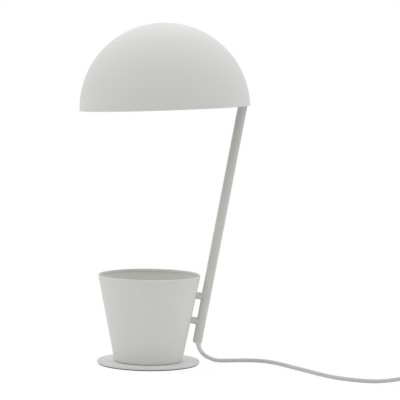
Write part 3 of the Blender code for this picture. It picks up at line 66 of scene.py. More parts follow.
def linear(hex_colour: str) -> tuple[float, float, float, float]:
    """Turn an sRGB hex colour to linear values.

    Args:
        hex_colour: Six hex digits, red first.

    Returns:
        Red, green, blue and an alpha of 1.
    """
    values = []
    for i in (0, 2, 4):
        v = int(hex_colour[i : i + 2], 16) / 255
        values.append(v / 12.92 if v <= 0.04045 else ((v + 0.055) / 1.055) ** 2.4)
    return (*values, 1.0)


def add_node(tree: Tree, kind: str, inputs: dict | None = None, **settings: object) -> Node:
    """Add a node with its settings, and set or link its inputs.

    Args:
        tree: The tree that gets the node.
        kind: The node's type name, such as ShaderNodeMix.
        inputs: A value or an output socket for each input, by name or number.
        settings: The node's own properties.

    Returns:
        The new node.
    """
    node = tree.nodes.new(kind)
    for name, value in settings.items():
        setattr(node, name, value)
    for key, value in (inputs or {}).items():
        if isinstance(value, Socket):
            tree.links.new(value, node.inputs[key])
        else:
            node.inputs[key].default_value = value
    return node


# Finishes


TURNING_MARKS = (0.15, 0.15, 1.0)  # draws the grain out round the axis, as a lathe does


class Surface(Enum):
    """How a surface was made, which sets its fine relief."""

    POWDER_COATED = "powder coated"
    MOULDED = "moulded"
    PLATED = "plated"
    TURNED = "turned"
    FOAMED = "foamed"
    BLOWN = "blown"


@dataclass(frozen=True)
class Finish:
    """A material: its colour, gloss and fine relief.

    The relief is noise whose cell is grain_mm wide and stands depth_mm proud.
    Mottle is the share by which the colour drifts over mottle_mm, and subsurface is
    the share of light that spreads subsurface_mm under the surface.
    """

    name: str
    slot: str
    colour: str
    surface: Surface
    roughness: float
    metallic: float = 0.0
    ior: float = 1.5
    coat: float = 0.0
    subsurface: float = 0.0
    subsurface_mm: float = 1.0
    grain_mm: float = 0.6
    depth_mm: float = 0.01
    mottle: float = 0.02
    mottle_mm: float = 30.0
    roughness_drift: float = 0.04

    def material(self) -> bpy.types.Material:
        """Make the finish's material, or find it where it was made before.

        Returns:
            The Blender material.
        """
        made = bpy.data.materials.get(self.name)
        if made:
            return made
        made = bpy.data.materials.new(self.name)
        made.use_nodes = True
        tree = made.node_tree
        shader = tree.nodes["Principled BSDF"]
        values = {
            "Metallic": self.metallic,
            "Coat Weight": self.coat,
            "Coat Roughness": self.roughness / 2,
            "Subsurface Weight": self.subsurface,
            "Subsurface Scale": self.subsurface_mm * MM,
        }
        if self.metallic == 0:
            values["IOR"] = self.ior
        for name, value in values.items():
            shader.inputs[name].default_value = value
        place = add_node(tree, "ShaderNodeTexCoord").outputs["Object"]
        self.add_colour(tree, shader, place)
        self.add_relief(tree, shader, place)
        return made

    def add_colour(self, tree: Tree, shader: Node, place: Socket) -> None:
        """Let colour and roughness drift a little over the surface.

        Args:
            tree: The material's tree.
            shader: Its Principled BSDF.
            place: The coordinates of the pattern.
        """
        pattern = {"Vector": place, "Scale": 1 / (self.mottle_mm * MM), "Detail": 3.0}
        cloud = add_node(tree, "ShaderNodeTexNoise", pattern).outputs["Fac"]
        colour = linear(self.colour)
        dark = tuple(v * (1 - self.mottle) for v in colour[:3])
        light = tuple(min(1.0, v * (1 + self.mottle)) for v in colour[:3])
        ends = {"Factor": cloud, "A": (*dark, 1.0), "B": (*light, 1.0)}
        drift = add_node(tree, "ShaderNodeMix", ends, data_type="RGBA")
        tree.links.new(drift.outputs["Result"], shader.inputs["Base Color"])
        span = {
            "Value": cloud,
            "To Min": max(0.0, self.roughness - self.roughness_drift),
            "To Max": min(1.0, self.roughness + self.roughness_drift),
        }
        rough = add_node(tree, "ShaderNodeMapRange", span)
        tree.links.new(rough.outputs["Result"], shader.inputs["Roughness"])

    def add_relief(self, tree: Tree, shader: Node, place: Socket) -> None:
        """Give the surface its fine relief, by how it was made.

        Args:
            tree: The material's tree.
            shader: Its Principled BSDF.
            place: The coordinates of the pattern.
        """
        if self.surface is Surface.TURNED:
            drawn_out = {0: place, 1: TURNING_MARKS}
            stretched = add_node(tree, "ShaderNodeVectorMath", drawn_out, operation="MULTIPLY")
            place = stretched.outputs["Vector"]
        pattern = {"Vector": place, "Scale": 1 / (self.grain_mm * MM)}
        if self.surface is Surface.FOAMED:
            grain = add_node(tree, "ShaderNodeTexVoronoi", pattern).outputs["Distance"]
        else:
            pattern["Detail"] = 2.0
            grain = add_node(tree, "ShaderNodeTexNoise", pattern).outputs["Fac"]
        height = {"Height": grain, "Distance": self.depth_mm * MM, "Strength": 1.0}
        bump = add_node(tree, "ShaderNodeBump", height)
        tree.links.new(bump.outputs["Normal"], shader.inputs["Normal"])


# Polyester powder baked on steel: matt and even, with a faint orange peel. The peel is about
# 0.5 mm wide on the real lamp and is drawn at 1.2 mm, so that it can show at all.
POWDER_WHITE = Finish(
    "matt_white_powder_coat_shade", "white_coat", "e8e9e7", Surface.POWDER_COATED, 0.6,
    grain_mm=1.2, depth_mm=0.035, mottle=0.008, mottle_mm=45,
)
# The same powder on the cup, a touch warmer, and painted a few levels darker than the shade's
# powder: painted shade.
POWDER_CUP_PAINTED_SHADE = replace(
    POWDER_WHITE, name="matt_white_powder_coat_cup_painted_shade", colour="e0e1dc", mottle=0.01, mottle_mm=35
)
# The same powder on the base disc, which the eye sees almost edge on, painted greyer and darker:
# painted shade on the disc.
POWDER_BASE_PAINTED_SHADE = replace(POWDER_CUP_PAINTED_SHADE, name="matt_white_powder_coat_base_painted_shade", colour="d9d9d9")
# The same powder on the thin tube and its stubs, painted darker than the cup's: painted shade on
# the thin upright tube.
POWDER_TUBE_PAINTED_SHADE = replace(
    POWDER_CUP_PAINTED_SHADE, name="matt_white_powder_coat_tube_painted_shade", colour="d5d6d0", roughness=0.58, mottle_mm=25
)
# Zinc plate over turned steel: grey with a faint blue, satin, with fine turning marks.
ZINC = Finish(
    "zinc_plated_steel", "zinc", "b9bbc0", Surface.TURNED, 0.34, metallic=1.0,
    grain_mm=0.5, depth_mm=0.006, mottle=0.05, mottle_mm=4, roughness_drift=0.08,
)
# Rolled brass, left bare: warm and a little dull where it was touched.
BRASS = Finish(
    "rolled_brass", "brass", "c9a25c", Surface.TURNED, 0.3, metallic=1.0,
    grain_mm=0.6, depth_mm=0.006, mottle=0.07, mottle_mm=5, roughness_drift=0.1,
)
# Nickel plate on the plug's pins: bright, warm grey.
NICKEL = Finish(
    "nickel_plated_brass", "nickel", "c9c5bb", Surface.PLATED, 0.2, metallic=1.0,
    grain_mm=1.2, depth_mm=0.003, mottle=0.03, mottle_mm=6,
)
# Moulded white thermoplastic with a fine spark-eroded texture.
WHITE_PLASTIC = Finish(
    "moulded_white_plastic", "white_plastic", "e2e1dd", Surface.MOULDED, 0.42,
    grain_mm=0.5, depth_mm=0.008, mottle=0.01, mottle_mm=15,
)
# Soft PVC of the cord's sheath, extruded: a little darker and glossier than the coat.
SOFT_PVC = Finish(
    "soft_white_pvc", "cord", "c8c8c8", Surface.MOULDED, 0.5,
    grain_mm=1.5, depth_mm=0.006, mottle=0.015, mottle_mm=20,
)
# Core insulation, extruded PVC in the two usual colours.
BROWN_CORE = Finish("brown_pvc_core", "core_brown", "5c3a26", Surface.MOULDED, 0.4, mottle_mm=8)
BLUE_CORE = Finish("blue_pvc_core", "core_blue", "2a5aa8", Surface.MOULDED, 0.4, mottle_mm=8)
# Steatite ceramic of the lampholder's core: chalky cream, unglazed.
CERAMIC = Finish(
    "steatite_ceramic", "ceramic", "e6dfcc", Surface.MOULDED, 0.6,
    grain_mm=0.4, depth_mm=0.02, mottle=0.03, mottle_mm=4,
)
# Opal glass, blown and coated inside: milky, with a clear gloss on its outer face.
OPAL_GLASS = Finish(
    "opal_blown_glass", "opal_glass", "f2f1ec", Surface.BLOWN, 0.16, ior=1.5, coat=0.6,
    subsurface=0.25, grain_mm=9, depth_mm=0.02, mottle=0.01, mottle_mm=25,
)
# Black vitrified glass between the bulb's cap and its contact.
BLACK_GLASS = Finish(
    "black_vitrite_glass", "black_glass", "17181a", Surface.BLOWN, 0.12, coat=0.4,
    grain_mm=1.5, depth_mm=0.02, mottle=0.1, mottle_mm=3,
)
# Closed-cell EVA foam under the base: dark, dull and pitted. Its dark edge, set out near the disc's
# rim, also stands in for the thin contact shadow under the disc: painted shade.
FOAM_AND_PAINTED_SHADE = Finish(
    "eva_foam_and_painted_shade", "foam", "232323", Surface.FOAMED, 0.9,
    grain_mm=0.8, depth_mm=0.08, mottle=0.12, mottle_mm=5,
)
# Black polyamide of the tie round the coil.
BLACK_NYLON = Finish(
    "black_polyamide", "black_tie", "1c1c1d", Surface.MOULDED, 0.45,
    grain_mm=0.6, depth_mm=0.01, mottle=0.08, mottle_mm=6,
)


# Shapes


EDGE_CHORDS = 6
BEVEL_CHORDS = 3
BORE_SIDES = 32
PIN_SIDES = 48
SMALL_SIDES = 64
TUBE_SIDES = 96
FINE_SIDES = 128
WIRE_RESOLUTION = 6


def shift(x: float = 0, y: float = 0, z: float = 0) -> Matrix:
    """The move by a length along each axis."""
    return Matrix.Translation((x, y, z))


def spin(angle: float, axis: str) -> Matrix:
    """The turn by an angle round X, Y or Z."""
    return Matrix.Rotation(angle, 4, axis)


def placed(piece: Piece, place: Matrix) -> Piece:
    """Set a piece's mesh in the lamp's frame, with its object at the origin."""
    piece.data.transform(place)
    return piece


def arc(
    centre: tuple[float, float], radius: float, start: float, end: float, steps: int
) -> Outline:
    """Points on an arc from its start angle to its end angle, both ends with it."""
    angles = [start + (end - start) * i / steps for i in range(steps + 1)]
    return [(centre[0] + radius * math.cos(a), centre[1] + radius * math.sin(a)) for a in angles]


def circle(radius: float, steps: int, centre: tuple[float, float] = (0, 0)) -> Outline:
    """A closed round outline with that many sides."""
    return arc(centre, radius, 0, FULL_TURN, steps)[:-1]


def filleted(corners: Corners, closed: bool = True, steps: int = 5) -> Outline:
    """Round off the corners of an outline.

    Args:
        corners: Each corner with its fillet's radius.
        closed: Whether the last corner joins the first.
        steps: How many chords a fillet has.

    Returns:
        The rounded outline.
    """
    points: Outline = []
    for i, (x, y, radius) in enumerate(corners):
        here = Vector((x, y))
        if radius <= 0 or (not closed and i in (0, len(corners) - 1)):
            points.append((x, y))
            continue
        before = (Vector(corners[i - 1][:2]) - here).normalized()
        after = (Vector(corners[(i + 1) % len(corners)][:2]) - here).normalized()
        half = before.angle(after) / 2
        middle = here + (before + after).normalized() * radius / math.sin(half)
        first = here + before * radius / math.tan(half) - middle
        last = here + after * radius / math.tan(half) - middle
        start = math.atan2(first.y, first.x)
        points += arc(tuple(middle), radius, start, start - first.angle_signed(last), steps)
    return points


def rounded_box(
    left: float, right: float, low: float, high: float, fillet: float, steps: int = 5
) -> Outline:
    """A rectangle with round corners."""
    corners = ((left, low), (right, low), (right, high), (left, high))
    return filleted([(x, y, fillet) for x, y in corners], steps=steps)


def hexagon(flats: float, fillet: float = 0.25 * MM) -> Outline:
    """A six-sided outline by its width across flats, its corners slightly round."""
    corners = circle(flats / math.sqrt(3), 6)
    return filleted([(x, y, fillet) for x, y in corners], steps=2)


def linked(piece: Piece) -> Piece:
    """Link an object to the scene, if it isn't in it.

    Args:
        piece: The object.

    Returns:
        The same object.
    """
    if not piece.users_collection:
        bpy.context.scene.collection.objects.link(piece)
    return piece


def mesh_object(body: bmesh.types.BMesh, name: str) -> Piece:
    """Make an object of a mesh in progress, smooth but for its sharp edges, and free the mesh.

    Args:
        body: The mesh in progress.
        name: The object's name.

    Returns:
        The object, linked to the scene.
    """
    bmesh.ops.remove_doubles(body, verts=body.verts, dist=WELD_DISTANCE)
    bmesh.ops.recalc_face_normals(body, faces=body.faces)
    mesh = bpy.data.meshes.new(name)
    body.to_mesh(mesh)
    body.free()
    mesh.shade_smooth()
    mesh.set_sharp_from_angle(angle=SHARP)
    return linked(bpy.data.objects.new(name, mesh))


def turned(
    name: str,
    outline: Outline,
    steps: int = TUBE_SIDES,
    closed: bool = True,
    reshape: Callable[[float, float, float], float] | None = None,
) -> Piece:
    """A body turned round Z.

    Args:
        name: The object's name.
        outline: Radius and height of each point, in order.
        steps: How many sides it has.
        closed: Whether the last point joins the first; else both lie on the axis.
        reshape: Gives the radius for an angle, radius and height, for ribs and threads.

    Returns:
        The object.
    """
    body = bmesh.new()
    rings = []
    for radius, height in outline:
        count = steps if radius > 0 else 1
        angles = [FULL_TURN * i / count for i in range(count)]
        sizes = [reshape(a, radius, height) if reshape and radius else radius for a in angles]
        spots = [(r * math.cos(a), r * math.sin(a), height) for r, a in zip(sizes, angles)]
        rings.append([body.verts.new(spot) for spot in spots])
    pairs = list(zip(rings, rings[1:]))
    if closed:
        pairs.append((rings[-1], rings[0]))
    for upper, lower in pairs:
        for i in range(steps):
            around = ((upper, i), (upper, i + 1), (lower, i + 1), (lower, i))
            corners = list(dict.fromkeys(level[at % len(level)] for level, at in around))
            if len(corners) > 2:
                body.faces.new(corners)
    return mesh_object(body, name)


def ring(
    name: str,
    outer: float,
    inner: float,
    low: float,
    high: float,
    fillet: float,
    steps: int = SMALL_SIDES,
) -> Piece:
    """A turned ring with rounded outer and inner edges."""
    corners = (outer, high), (outer, low), (inner, low), (inner, high)
    return turned(name, filleted([(r, z, fillet) for r, z in corners], steps=3), steps)


def spindle(name: str, corners: Corners, steps: int = SMALL_SIDES, chords: int = 5) -> Piece:
    """A solid turned round Z, whose corners run from axis to axis."""
    return turned(name, filleted(corners, closed=False, steps=chords), steps, closed=False)


def pin(
    name: str, radius: float, low: float, high: float, fillet: float, steps: int = PIN_SIDES
) -> Piece:
    """A turned pin with rounded ends."""
    corners = [(0, high, 0), (radius, high, fillet), (radius, low, fillet), (0, low, 0)]
    return spindle(name, corners, steps, 4)


def plate(
    name: str,
    outline: Outline,
    thickness: float,
    holes: tuple[Outline, ...] = (),
    edge: float = 0.0,
    standing: bool = False,
) -> Piece:
    """A flat piece, half its thickness to each side of its outline's plane.

    Args:
        name: The object's name.
        outline: Its outer outline.
        thickness: How thick it is.
        holes: The outlines of its holes.
        edge: The width of the bevel on its edges.
        standing: Whether the outline is in X and Z instead of X and Y.

    Returns:
        The object.
    """
    flat = bpy.data.curves.new(name, "CURVE")
    flat.dimensions = "2D"
    flat.fill_mode = "BOTH"
    flat.extrude = thickness / 2
    for loop in (outline, *holes):
        spline = flat.splines.new("POLY")
        spline.points.add(len(loop) - 1)
        for point, (x, y) in zip(spline.points, loop):
            point.co = (x, y, 0, 1)
        spline.use_cyclic_u = True
    piece = as_mesh(bpy.data.objects.new(name, flat), name)
    if standing:
        placed(piece, spin(QUARTER, "X"))
    return bevelled(piece, edge) if edge else piece


def inset(outline: Outline, depth: float) -> Outline:
    """Move every side of a counterclockwise outline inwards.

    Args:
        outline: The outline.
        depth: How far its sides move.

    Returns:
        The smaller outline, with as many points.
    """
    points = []
    for i, spot in enumerate(outline):
        here = Vector(spot)
        before = (here - Vector(outline[i - 1])).normalized()
        after = (Vector(outline[(i + 1) % len(outline)]) - here).normalized()
        inwards = Vector((-before.y - after.y, before.x + after.x))
        moved = here + inwards.normalized() * 2 * depth / max(inwards.length, 0.5)
        points.append((moved.x, moved.y))
    return points


def soft_slab(
    name: str, outline: Outline, low: float, high: float, under: float, over: float
) -> Piece:
    """A slab whose lower and upper edges are rounded.

    Args:
        name: The object's name.
        outline: Its counterclockwise outline.
        low: Height of its lower face.
        high: Height of its upper face.
        under: The radius of its lower edge.
        over: The radius of its upper edge.

    Returns:
        The object.
    """
    quarters = [QUARTER * i / EDGE_CHORDS for i in range(EDGE_CHORDS + 1)]
    profile = [(under * (1 - math.sin(a)), low + under * (1 - math.cos(a))) for a in quarters]
    profile += [(over * (1 - math.cos(a)), high - over * (1 - math.sin(a))) for a in quarters]
    body = bmesh.new()
    rings = [
        [body.verts.new((x, y, height)) for x, y in inset(outline, depth)]
        for depth, height in profile
    ]
    count = len(outline)
    for lower, upper in zip(rings, rings[1:]):
        for i in range(count):
            j = (i + 1) % count
            body.faces.new((lower[i], lower[j], upper[j], upper[i]))
    body.faces.new(rings[0][::-1])
    body.faces.new(rings[-1])
    return mesh_object(body, name)


def hull_outline(
    centre: tuple[float, float], radius: float, far: Outline, steps: int = 48
) -> Outline:
    """The outline round a circle and two far points, counterclockwise.

    Args:
        centre: The circle's middle.
        radius: The circle's radius.
        far: The other corners.
        steps: How many points the circle gives.

    Returns:
        The points of the convex outline.
    """
    spots = sorted({*circle(radius, steps, centre), *far})

    def half(points: Outline) -> Outline:
        """Keep one side of the outline, without the points that bend inwards.

        Args:
            points: All points, in the order of the side.

        Returns:
            The side's points but for the last.
        """
        kept: Outline = []
        for x, y in points:
            while len(kept) > 1:
                (ax, ay), (bx, by) = kept[-2:]
                if (bx - ax) * (y - ay) > (by - ay) * (x - ax):
                    break
                kept.pop()
            kept.append((x, y))
        return kept[:-1]

    return half(spots) + half(spots[::-1])


def as_mesh(shape: Piece, name: str) -> Piece:
    """Replace an object by its evaluated shape as a plain welded mesh.

    Args:
        shape: The curve or mesh with modifiers.
        name: The new object's name.

    Returns:
        The new object.
    """
    linked(shape)
    bpy.context.view_layer.update()
    view = bpy.context.evaluated_depsgraph_get()
    mesh = bpy.data.meshes.new_from_object(shape.evaluated_get(view))
    body = bmesh.new()
    body.from_mesh(mesh)
    bpy.data.objects.remove(shape, do_unlink=True)
    bpy.data.meshes.remove(mesh)
    return mesh_object(body, name)


def bevelled(piece: Piece, width: float) -> Piece:
    """Round the sharp edges of a piece.

    Args:
        piece: The piece.
        width: How wide the bevel is.

    Returns:
        The same piece, with a bevel modifier.
    """
    bevel = piece.modifiers.new("edge", "BEVEL")
    bevel.width = width
    bevel.segments = BEVEL_CHORDS
    bevel.limit_method = "ANGLE"
    bevel.angle_limit = SHARP
    bevel.harden_normals = True
    return piece


def combined(piece: Piece, other: Piece, operation: str) -> Piece:
    """Cut a piece with another, or keep what both share; the other is used up.

    Args:
        piece: The piece that stays.
        other: The body that it is combined with.
        operation: DIFFERENCE or INTERSECT.

    Returns:
        The changed piece.
    """
    name = piece.name
    change = piece.modifiers.new("combine", "BOOLEAN")
    change.operation = operation
    change.solver = "EXACT"
    change.object = other
    made = as_mesh(piece, name + "_made")
    made.name = name
    bpy.data.objects.remove(other, do_unlink=True)
    return made


def smooth_path(route: list[Vector], parts: int = 12) -> list[Vector]:
    """A smooth curve through a route's points.

    Args:
        route: The points that it passes through.
        parts: How many steps it takes between two of them.

    Returns:
        The curve's points.
    """
    ends = [2 * route[0] - route[1], *route, 2 * route[-1] - route[-2]]
    fine = []
    for a, b, c, d in zip(ends, ends[1:], ends[2:], ends[3:]):
        for i in range(parts):
            t = i / parts
            fine.append(
                0.5 * (2 * b + (c - a) * t + (2 * a - 5 * b + 4 * c - d) * t**2)
                + 0.5 * (3 * b - a - 3 * c + d) * t**3
            )
    return [*fine, route[-1]]


def path_length(points: list[Vector]) -> float:
    """The length of a polyline."""
    return sum((b - a).length for a, b in zip(points, points[1:]))


def stretch(points: list[Vector], start: float, end: float) -> list[Vector]:
    """The part of a polyline between two lengths along it.

    Args:
        points: The polyline.
        start: The length at which the part starts.
        end: The length at which it ends.

    Returns:
        The part's points.
    """
    kept: list[Vector] = []
    walked = 0.0
    for a, b in zip(points, points[1:]):
        step = (b - a).length
        if walked <= start < walked + step:
            kept.append(a.lerp(b, (start - walked) / step))
        if start < walked + step < end:
            kept.append(b)
        if walked < end <= walked + step:
            kept.append(a.lerp(b, (end - walked) / step))
        walked += step
    return kept


def round_wire(
    name: str, points: list[Vector], radius: float, shares: list[float] | None = None
) -> Piece:
    """A round wire along points, as a curve with closed ends.

    Args:
        name: The object's name.
        points: The line that it follows.
        radius: Its radius.
        shares: What scales the radius at each point, if it isn't even.

    Returns:
        The curve object.
    """
    line = bpy.data.curves.new(name, "CURVE")
    line.dimensions = "3D"
    line.bevel_depth = radius
    line.bevel_resolution = WIRE_RESOLUTION
    line.use_fill_caps = True
    spline = line.splines.new("POLY")
    spline.points.add(len(points) - 1)
    for i, (point, place) in enumerate(zip(spline.points, points)):
        point.co = (*place, 1)
        point.radius = shares[i] if shares else 1
    spline.use_smooth = True
    return linked(bpy.data.objects.new(name, line))


def dress(piece: Piece, finish: Finish, body: str, *nodes: str) -> Piece:
    """Give a piece its finish and its body, and let it stand for its CAD nodes.

    Args:
        piece: The finished piece, in place.
        finish: Its finish.
        body: The body that it rides on.
        nodes: The CAD nodes that it replaces.

    Returns:
        The piece.
    """
    piece.data.materials.clear()
    piece.data.materials.append(finish.material())
    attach(piece, body)
    if nodes:
        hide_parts(*nodes)
    log.info("%s: %s", piece.name, finish.name)
    return piece


LAMP = Matrix()  # the lamp's own frame


class Assembly:
    """A sub-assembly, whose pieces are built in its own frame and ride on one body."""

    place: ClassVar[Matrix] = LAMP
    body: ClassVar[str] = "stand"

    def add(self, piece: Piece, finish: Finish, *nodes: str, at: Matrix | None = None) -> Piece:
        """Lay a piece at the sub-assembly's place, or where at says, and dress it."""
        return dress(placed(piece, at or self.place), finish, self.body, *nodes)


# Places, in the lamp's frame


LEAN = math.radians(10.0)
SHADE_TILT = math.radians(2.67)
STEM_FOOT = Vector((57.767, 0, 26.168)) * MM
STEM_LENGTH = 285.9 * MM
STEM_RADIUS = 5.5 * MM
STEM_WALL = 1 * MM
STEM = shift(*STEM_FOOT) @ spin(LEAN, "Y")
PIVOT_ASIDE = 8 * MM  # the hinge's axis from the tube's, towards the cup
PIVOT_RISE = 14 * MM  # and above the tube's upper end
PLUG_DEPTH = 14 * MM  # how far the hinge's plug reaches into the tube
HINGE = STEM @ shift(-PIVOT_ASIDE, 0, STEM_LENGTH + PIVOT_RISE)
SHADE = shift(*Vector((15.756, 0, 301.762)) * MM) @ spin(-SHADE_TILT, "Y")
PIVOT_OUT = 87.1 * MM  # the hinge's axis from the shade's middle
PIVOT_UP = 17.1 * MM
TILT = SHADE @ shift(PIVOT_OUT, 0, PIVOT_UP)
EAR_THICKNESS = 1.8 * MM
LEG_OUT = 66 * MM  # the strap's leg, which carries the lampholder
HOLDER_UP = 38 * MM
HOLDER = SHADE @ shift(LEG_OUT, 0, HOLDER_UP) @ spin(-QUARTER, "Y")
CORD_RADIUS = 2.25 * MM
CORD_ASIDE = -131 * MM  # the line on which switch, coil and plug lie
SWITCH = shift(320 * MM, CORD_ASIDE)
PLUG = shift(409.4 * MM, CORD_ASIDE)


# Camera, light and floor


class Ray(Enum):
    """Rays that see the plain white surroundings instead of the lights."""

    CAMERA = "Is Camera Ray"
    GLOSSY = "Is Glossy Ray"
    TRANSMISSION = "Is Transmission Ray"


@dataclass(frozen=True)
class SkyLight:
    """How bright the soft light is, by the direction it comes from.

    The four shares give the even part, what grows upwards, what grows to both
    sides, and what comes from behind. It stays between the least and the most.
    """

    even: float = 0.0
    upwards: float = 1.8
    sideways: float = 0.56
    behind: float = 0.3
    least: float = 0.03
    most: float = 1.1


@dataclass(frozen=True)
class Studio:
    """The photograph's camera, a pale floor and plain soft light from above and both sides.

    The camera is given by its place and its three axes. What is seen of the floor is
    its own light, floor_white, and the share of its paint that shows shadows.
    """

    camera_place: Triple = (0, -2.24617, 0.365388)
    camera_right: Triple = (0.99958051, -0.02488962, 0.01480932)
    camera_up: Triple = (-0.01287155, 0.07628829, 0.99700272)
    camera_forward: Triple = (0.02594479, 0.9967751, -0.07593592)
    lens: float = 172.24
    sensor_width: float = 36
    clip_end: float = 50
    sky: SkyLight = SkyLight()
    floor_side: float = 2.4
    floor_height: float = -0.02 * MM
    floor_colour: str = "f4f4f4"
    floor_white: float = 0.86
    floor_shadow_share: float = 0.17

    def build(self) -> None:
        """Make the camera, the world and the floor."""
        self.make_camera()
        self.make_world()
        self.make_floor()
        bpy.context.scene.view_settings.view_transform = "Standard"
        log.info("studio: camera, sky light and floor")

    def make_camera(self) -> None:
        """Stand the camera where the photograph was taken from."""
        data = bpy.data.cameras.new("photo_camera")
        data.sensor_width = self.sensor_width
        data.lens = self.lens
        data.clip_end = self.clip_end
        camera = bpy.data.objects.new(data.name, data)
        back = -Vector(self.camera_forward)
        axes = Matrix((self.camera_right, self.camera_up, back)).transposed().to_4x4()
        camera.matrix_world = shift(*self.camera_place) @ axes
        bpy.context.scene.camera = linked(camera)

    def plain_rays(self, tree: Tree) -> Socket:
        """One for rays that see plain white, else nought.

        Args:
            tree: The tree that gets the nodes.

        Returns:
            The output socket.
        """
        path = add_node(tree, "ShaderNodeLightPath")
        seen = path.outputs[Ray.CAMERA.value]
        for ray in (Ray.GLOSSY, Ray.TRANSMISSION):
            either = {0: seen, 1: path.outputs[ray.value]}
            seen = add_node(tree, "ShaderNodeMath", either, operation="MAXIMUM").outputs["Value"]
        return seen

    def make_world(self) -> None:
        """Light from all round by direction, and plain white for what is seen."""
        world = bpy.data.worlds.new("studio")
        bpy.context.scene.world = world
        world.use_nodes = True
        tree = world.node_tree
        tree.nodes.clear()
        place = add_node(tree, "ShaderNodeTexCoord").outputs["Generated"]
        axes = add_node(tree, "ShaderNodeSeparateXYZ", {0: place}).outputs
        squared = {0: axes["X"], 1: axes["X"]}
        side = add_node(tree, "ShaderNodeMath", squared, operation="MULTIPLY").outputs["Value"]
        level: Socket | float = self.sky.even
        for value, share in (
            (axes["Z"], self.sky.upwards),
            (side, self.sky.sideways),
            (axes["Y"], self.sky.behind),
        ):
            term = {0: value, 1: share, 2: level}
            level = add_node(tree, "ShaderNodeMath", term, operation="MULTIPLY_ADD").outputs[0]
        for bound, operation in ((self.sky.least, "MAXIMUM"), (self.sky.most, "MINIMUM")):
            limited = {0: level, 1: bound}
            level = add_node(tree, "ShaderNodeMath", limited, operation=operation).outputs[0]
        soft, white = (
            add_node(tree, "ShaderNodeBackground", {"Color": WHITE, "Strength": strength})
            for strength in (level, 1.0)
        )
        parts = {0: self.plain_rays(tree), 1: soft.outputs[0], 2: white.outputs[0]}
        both = add_node(tree, "ShaderNodeMixShader", parts)
        add_node(tree, "ShaderNodeOutputWorld", {"Surface": both.outputs[0]})

    def make_floor(self) -> None:
        """A plain pale floor that keeps the lamp's faint shadow."""
        half = self.floor_side / 2
        outline = [(-half, -half), (half, -half), (half, half), (-half, half)]
        mesh = bpy.data.meshes.new("floor")
        mesh.from_pydata([(x, y, self.floor_height) for x, y in outline], [], [(0, 1, 2, 3)])
        floor = linked(bpy.data.objects.new("floor", mesh))
        paint = bpy.data.materials.new("matt_floor_paint")
        paint.use_nodes = True
        tree = paint.node_tree
        tree.nodes.clear()
        matt = add_node(tree, "ShaderNodeBsdfDiffuse", {"Color": linear(self.floor_colour)})
        glow = self.floor_white / (1 - self.floor_shadow_share)
        white = add_node(tree, "ShaderNodeEmission", {"Color": WHITE, "Strength": glow})
        parts = {0: self.floor_shadow_share, 1: white.outputs[0], 2: matt.outputs[0]}
        pale = add_node(tree, "ShaderNodeMixShader", parts)
        parts = {0: self.plain_rays(tree), 1: matt.outputs[0], 2: pale.outputs[0]}
        seen = add_node(tree, "ShaderNodeMixShader", parts)
        add_node(tree, "ShaderNodeOutputMaterial", {"Surface": seen.outputs[0]})
        mesh.materials.append(paint)


# Cord


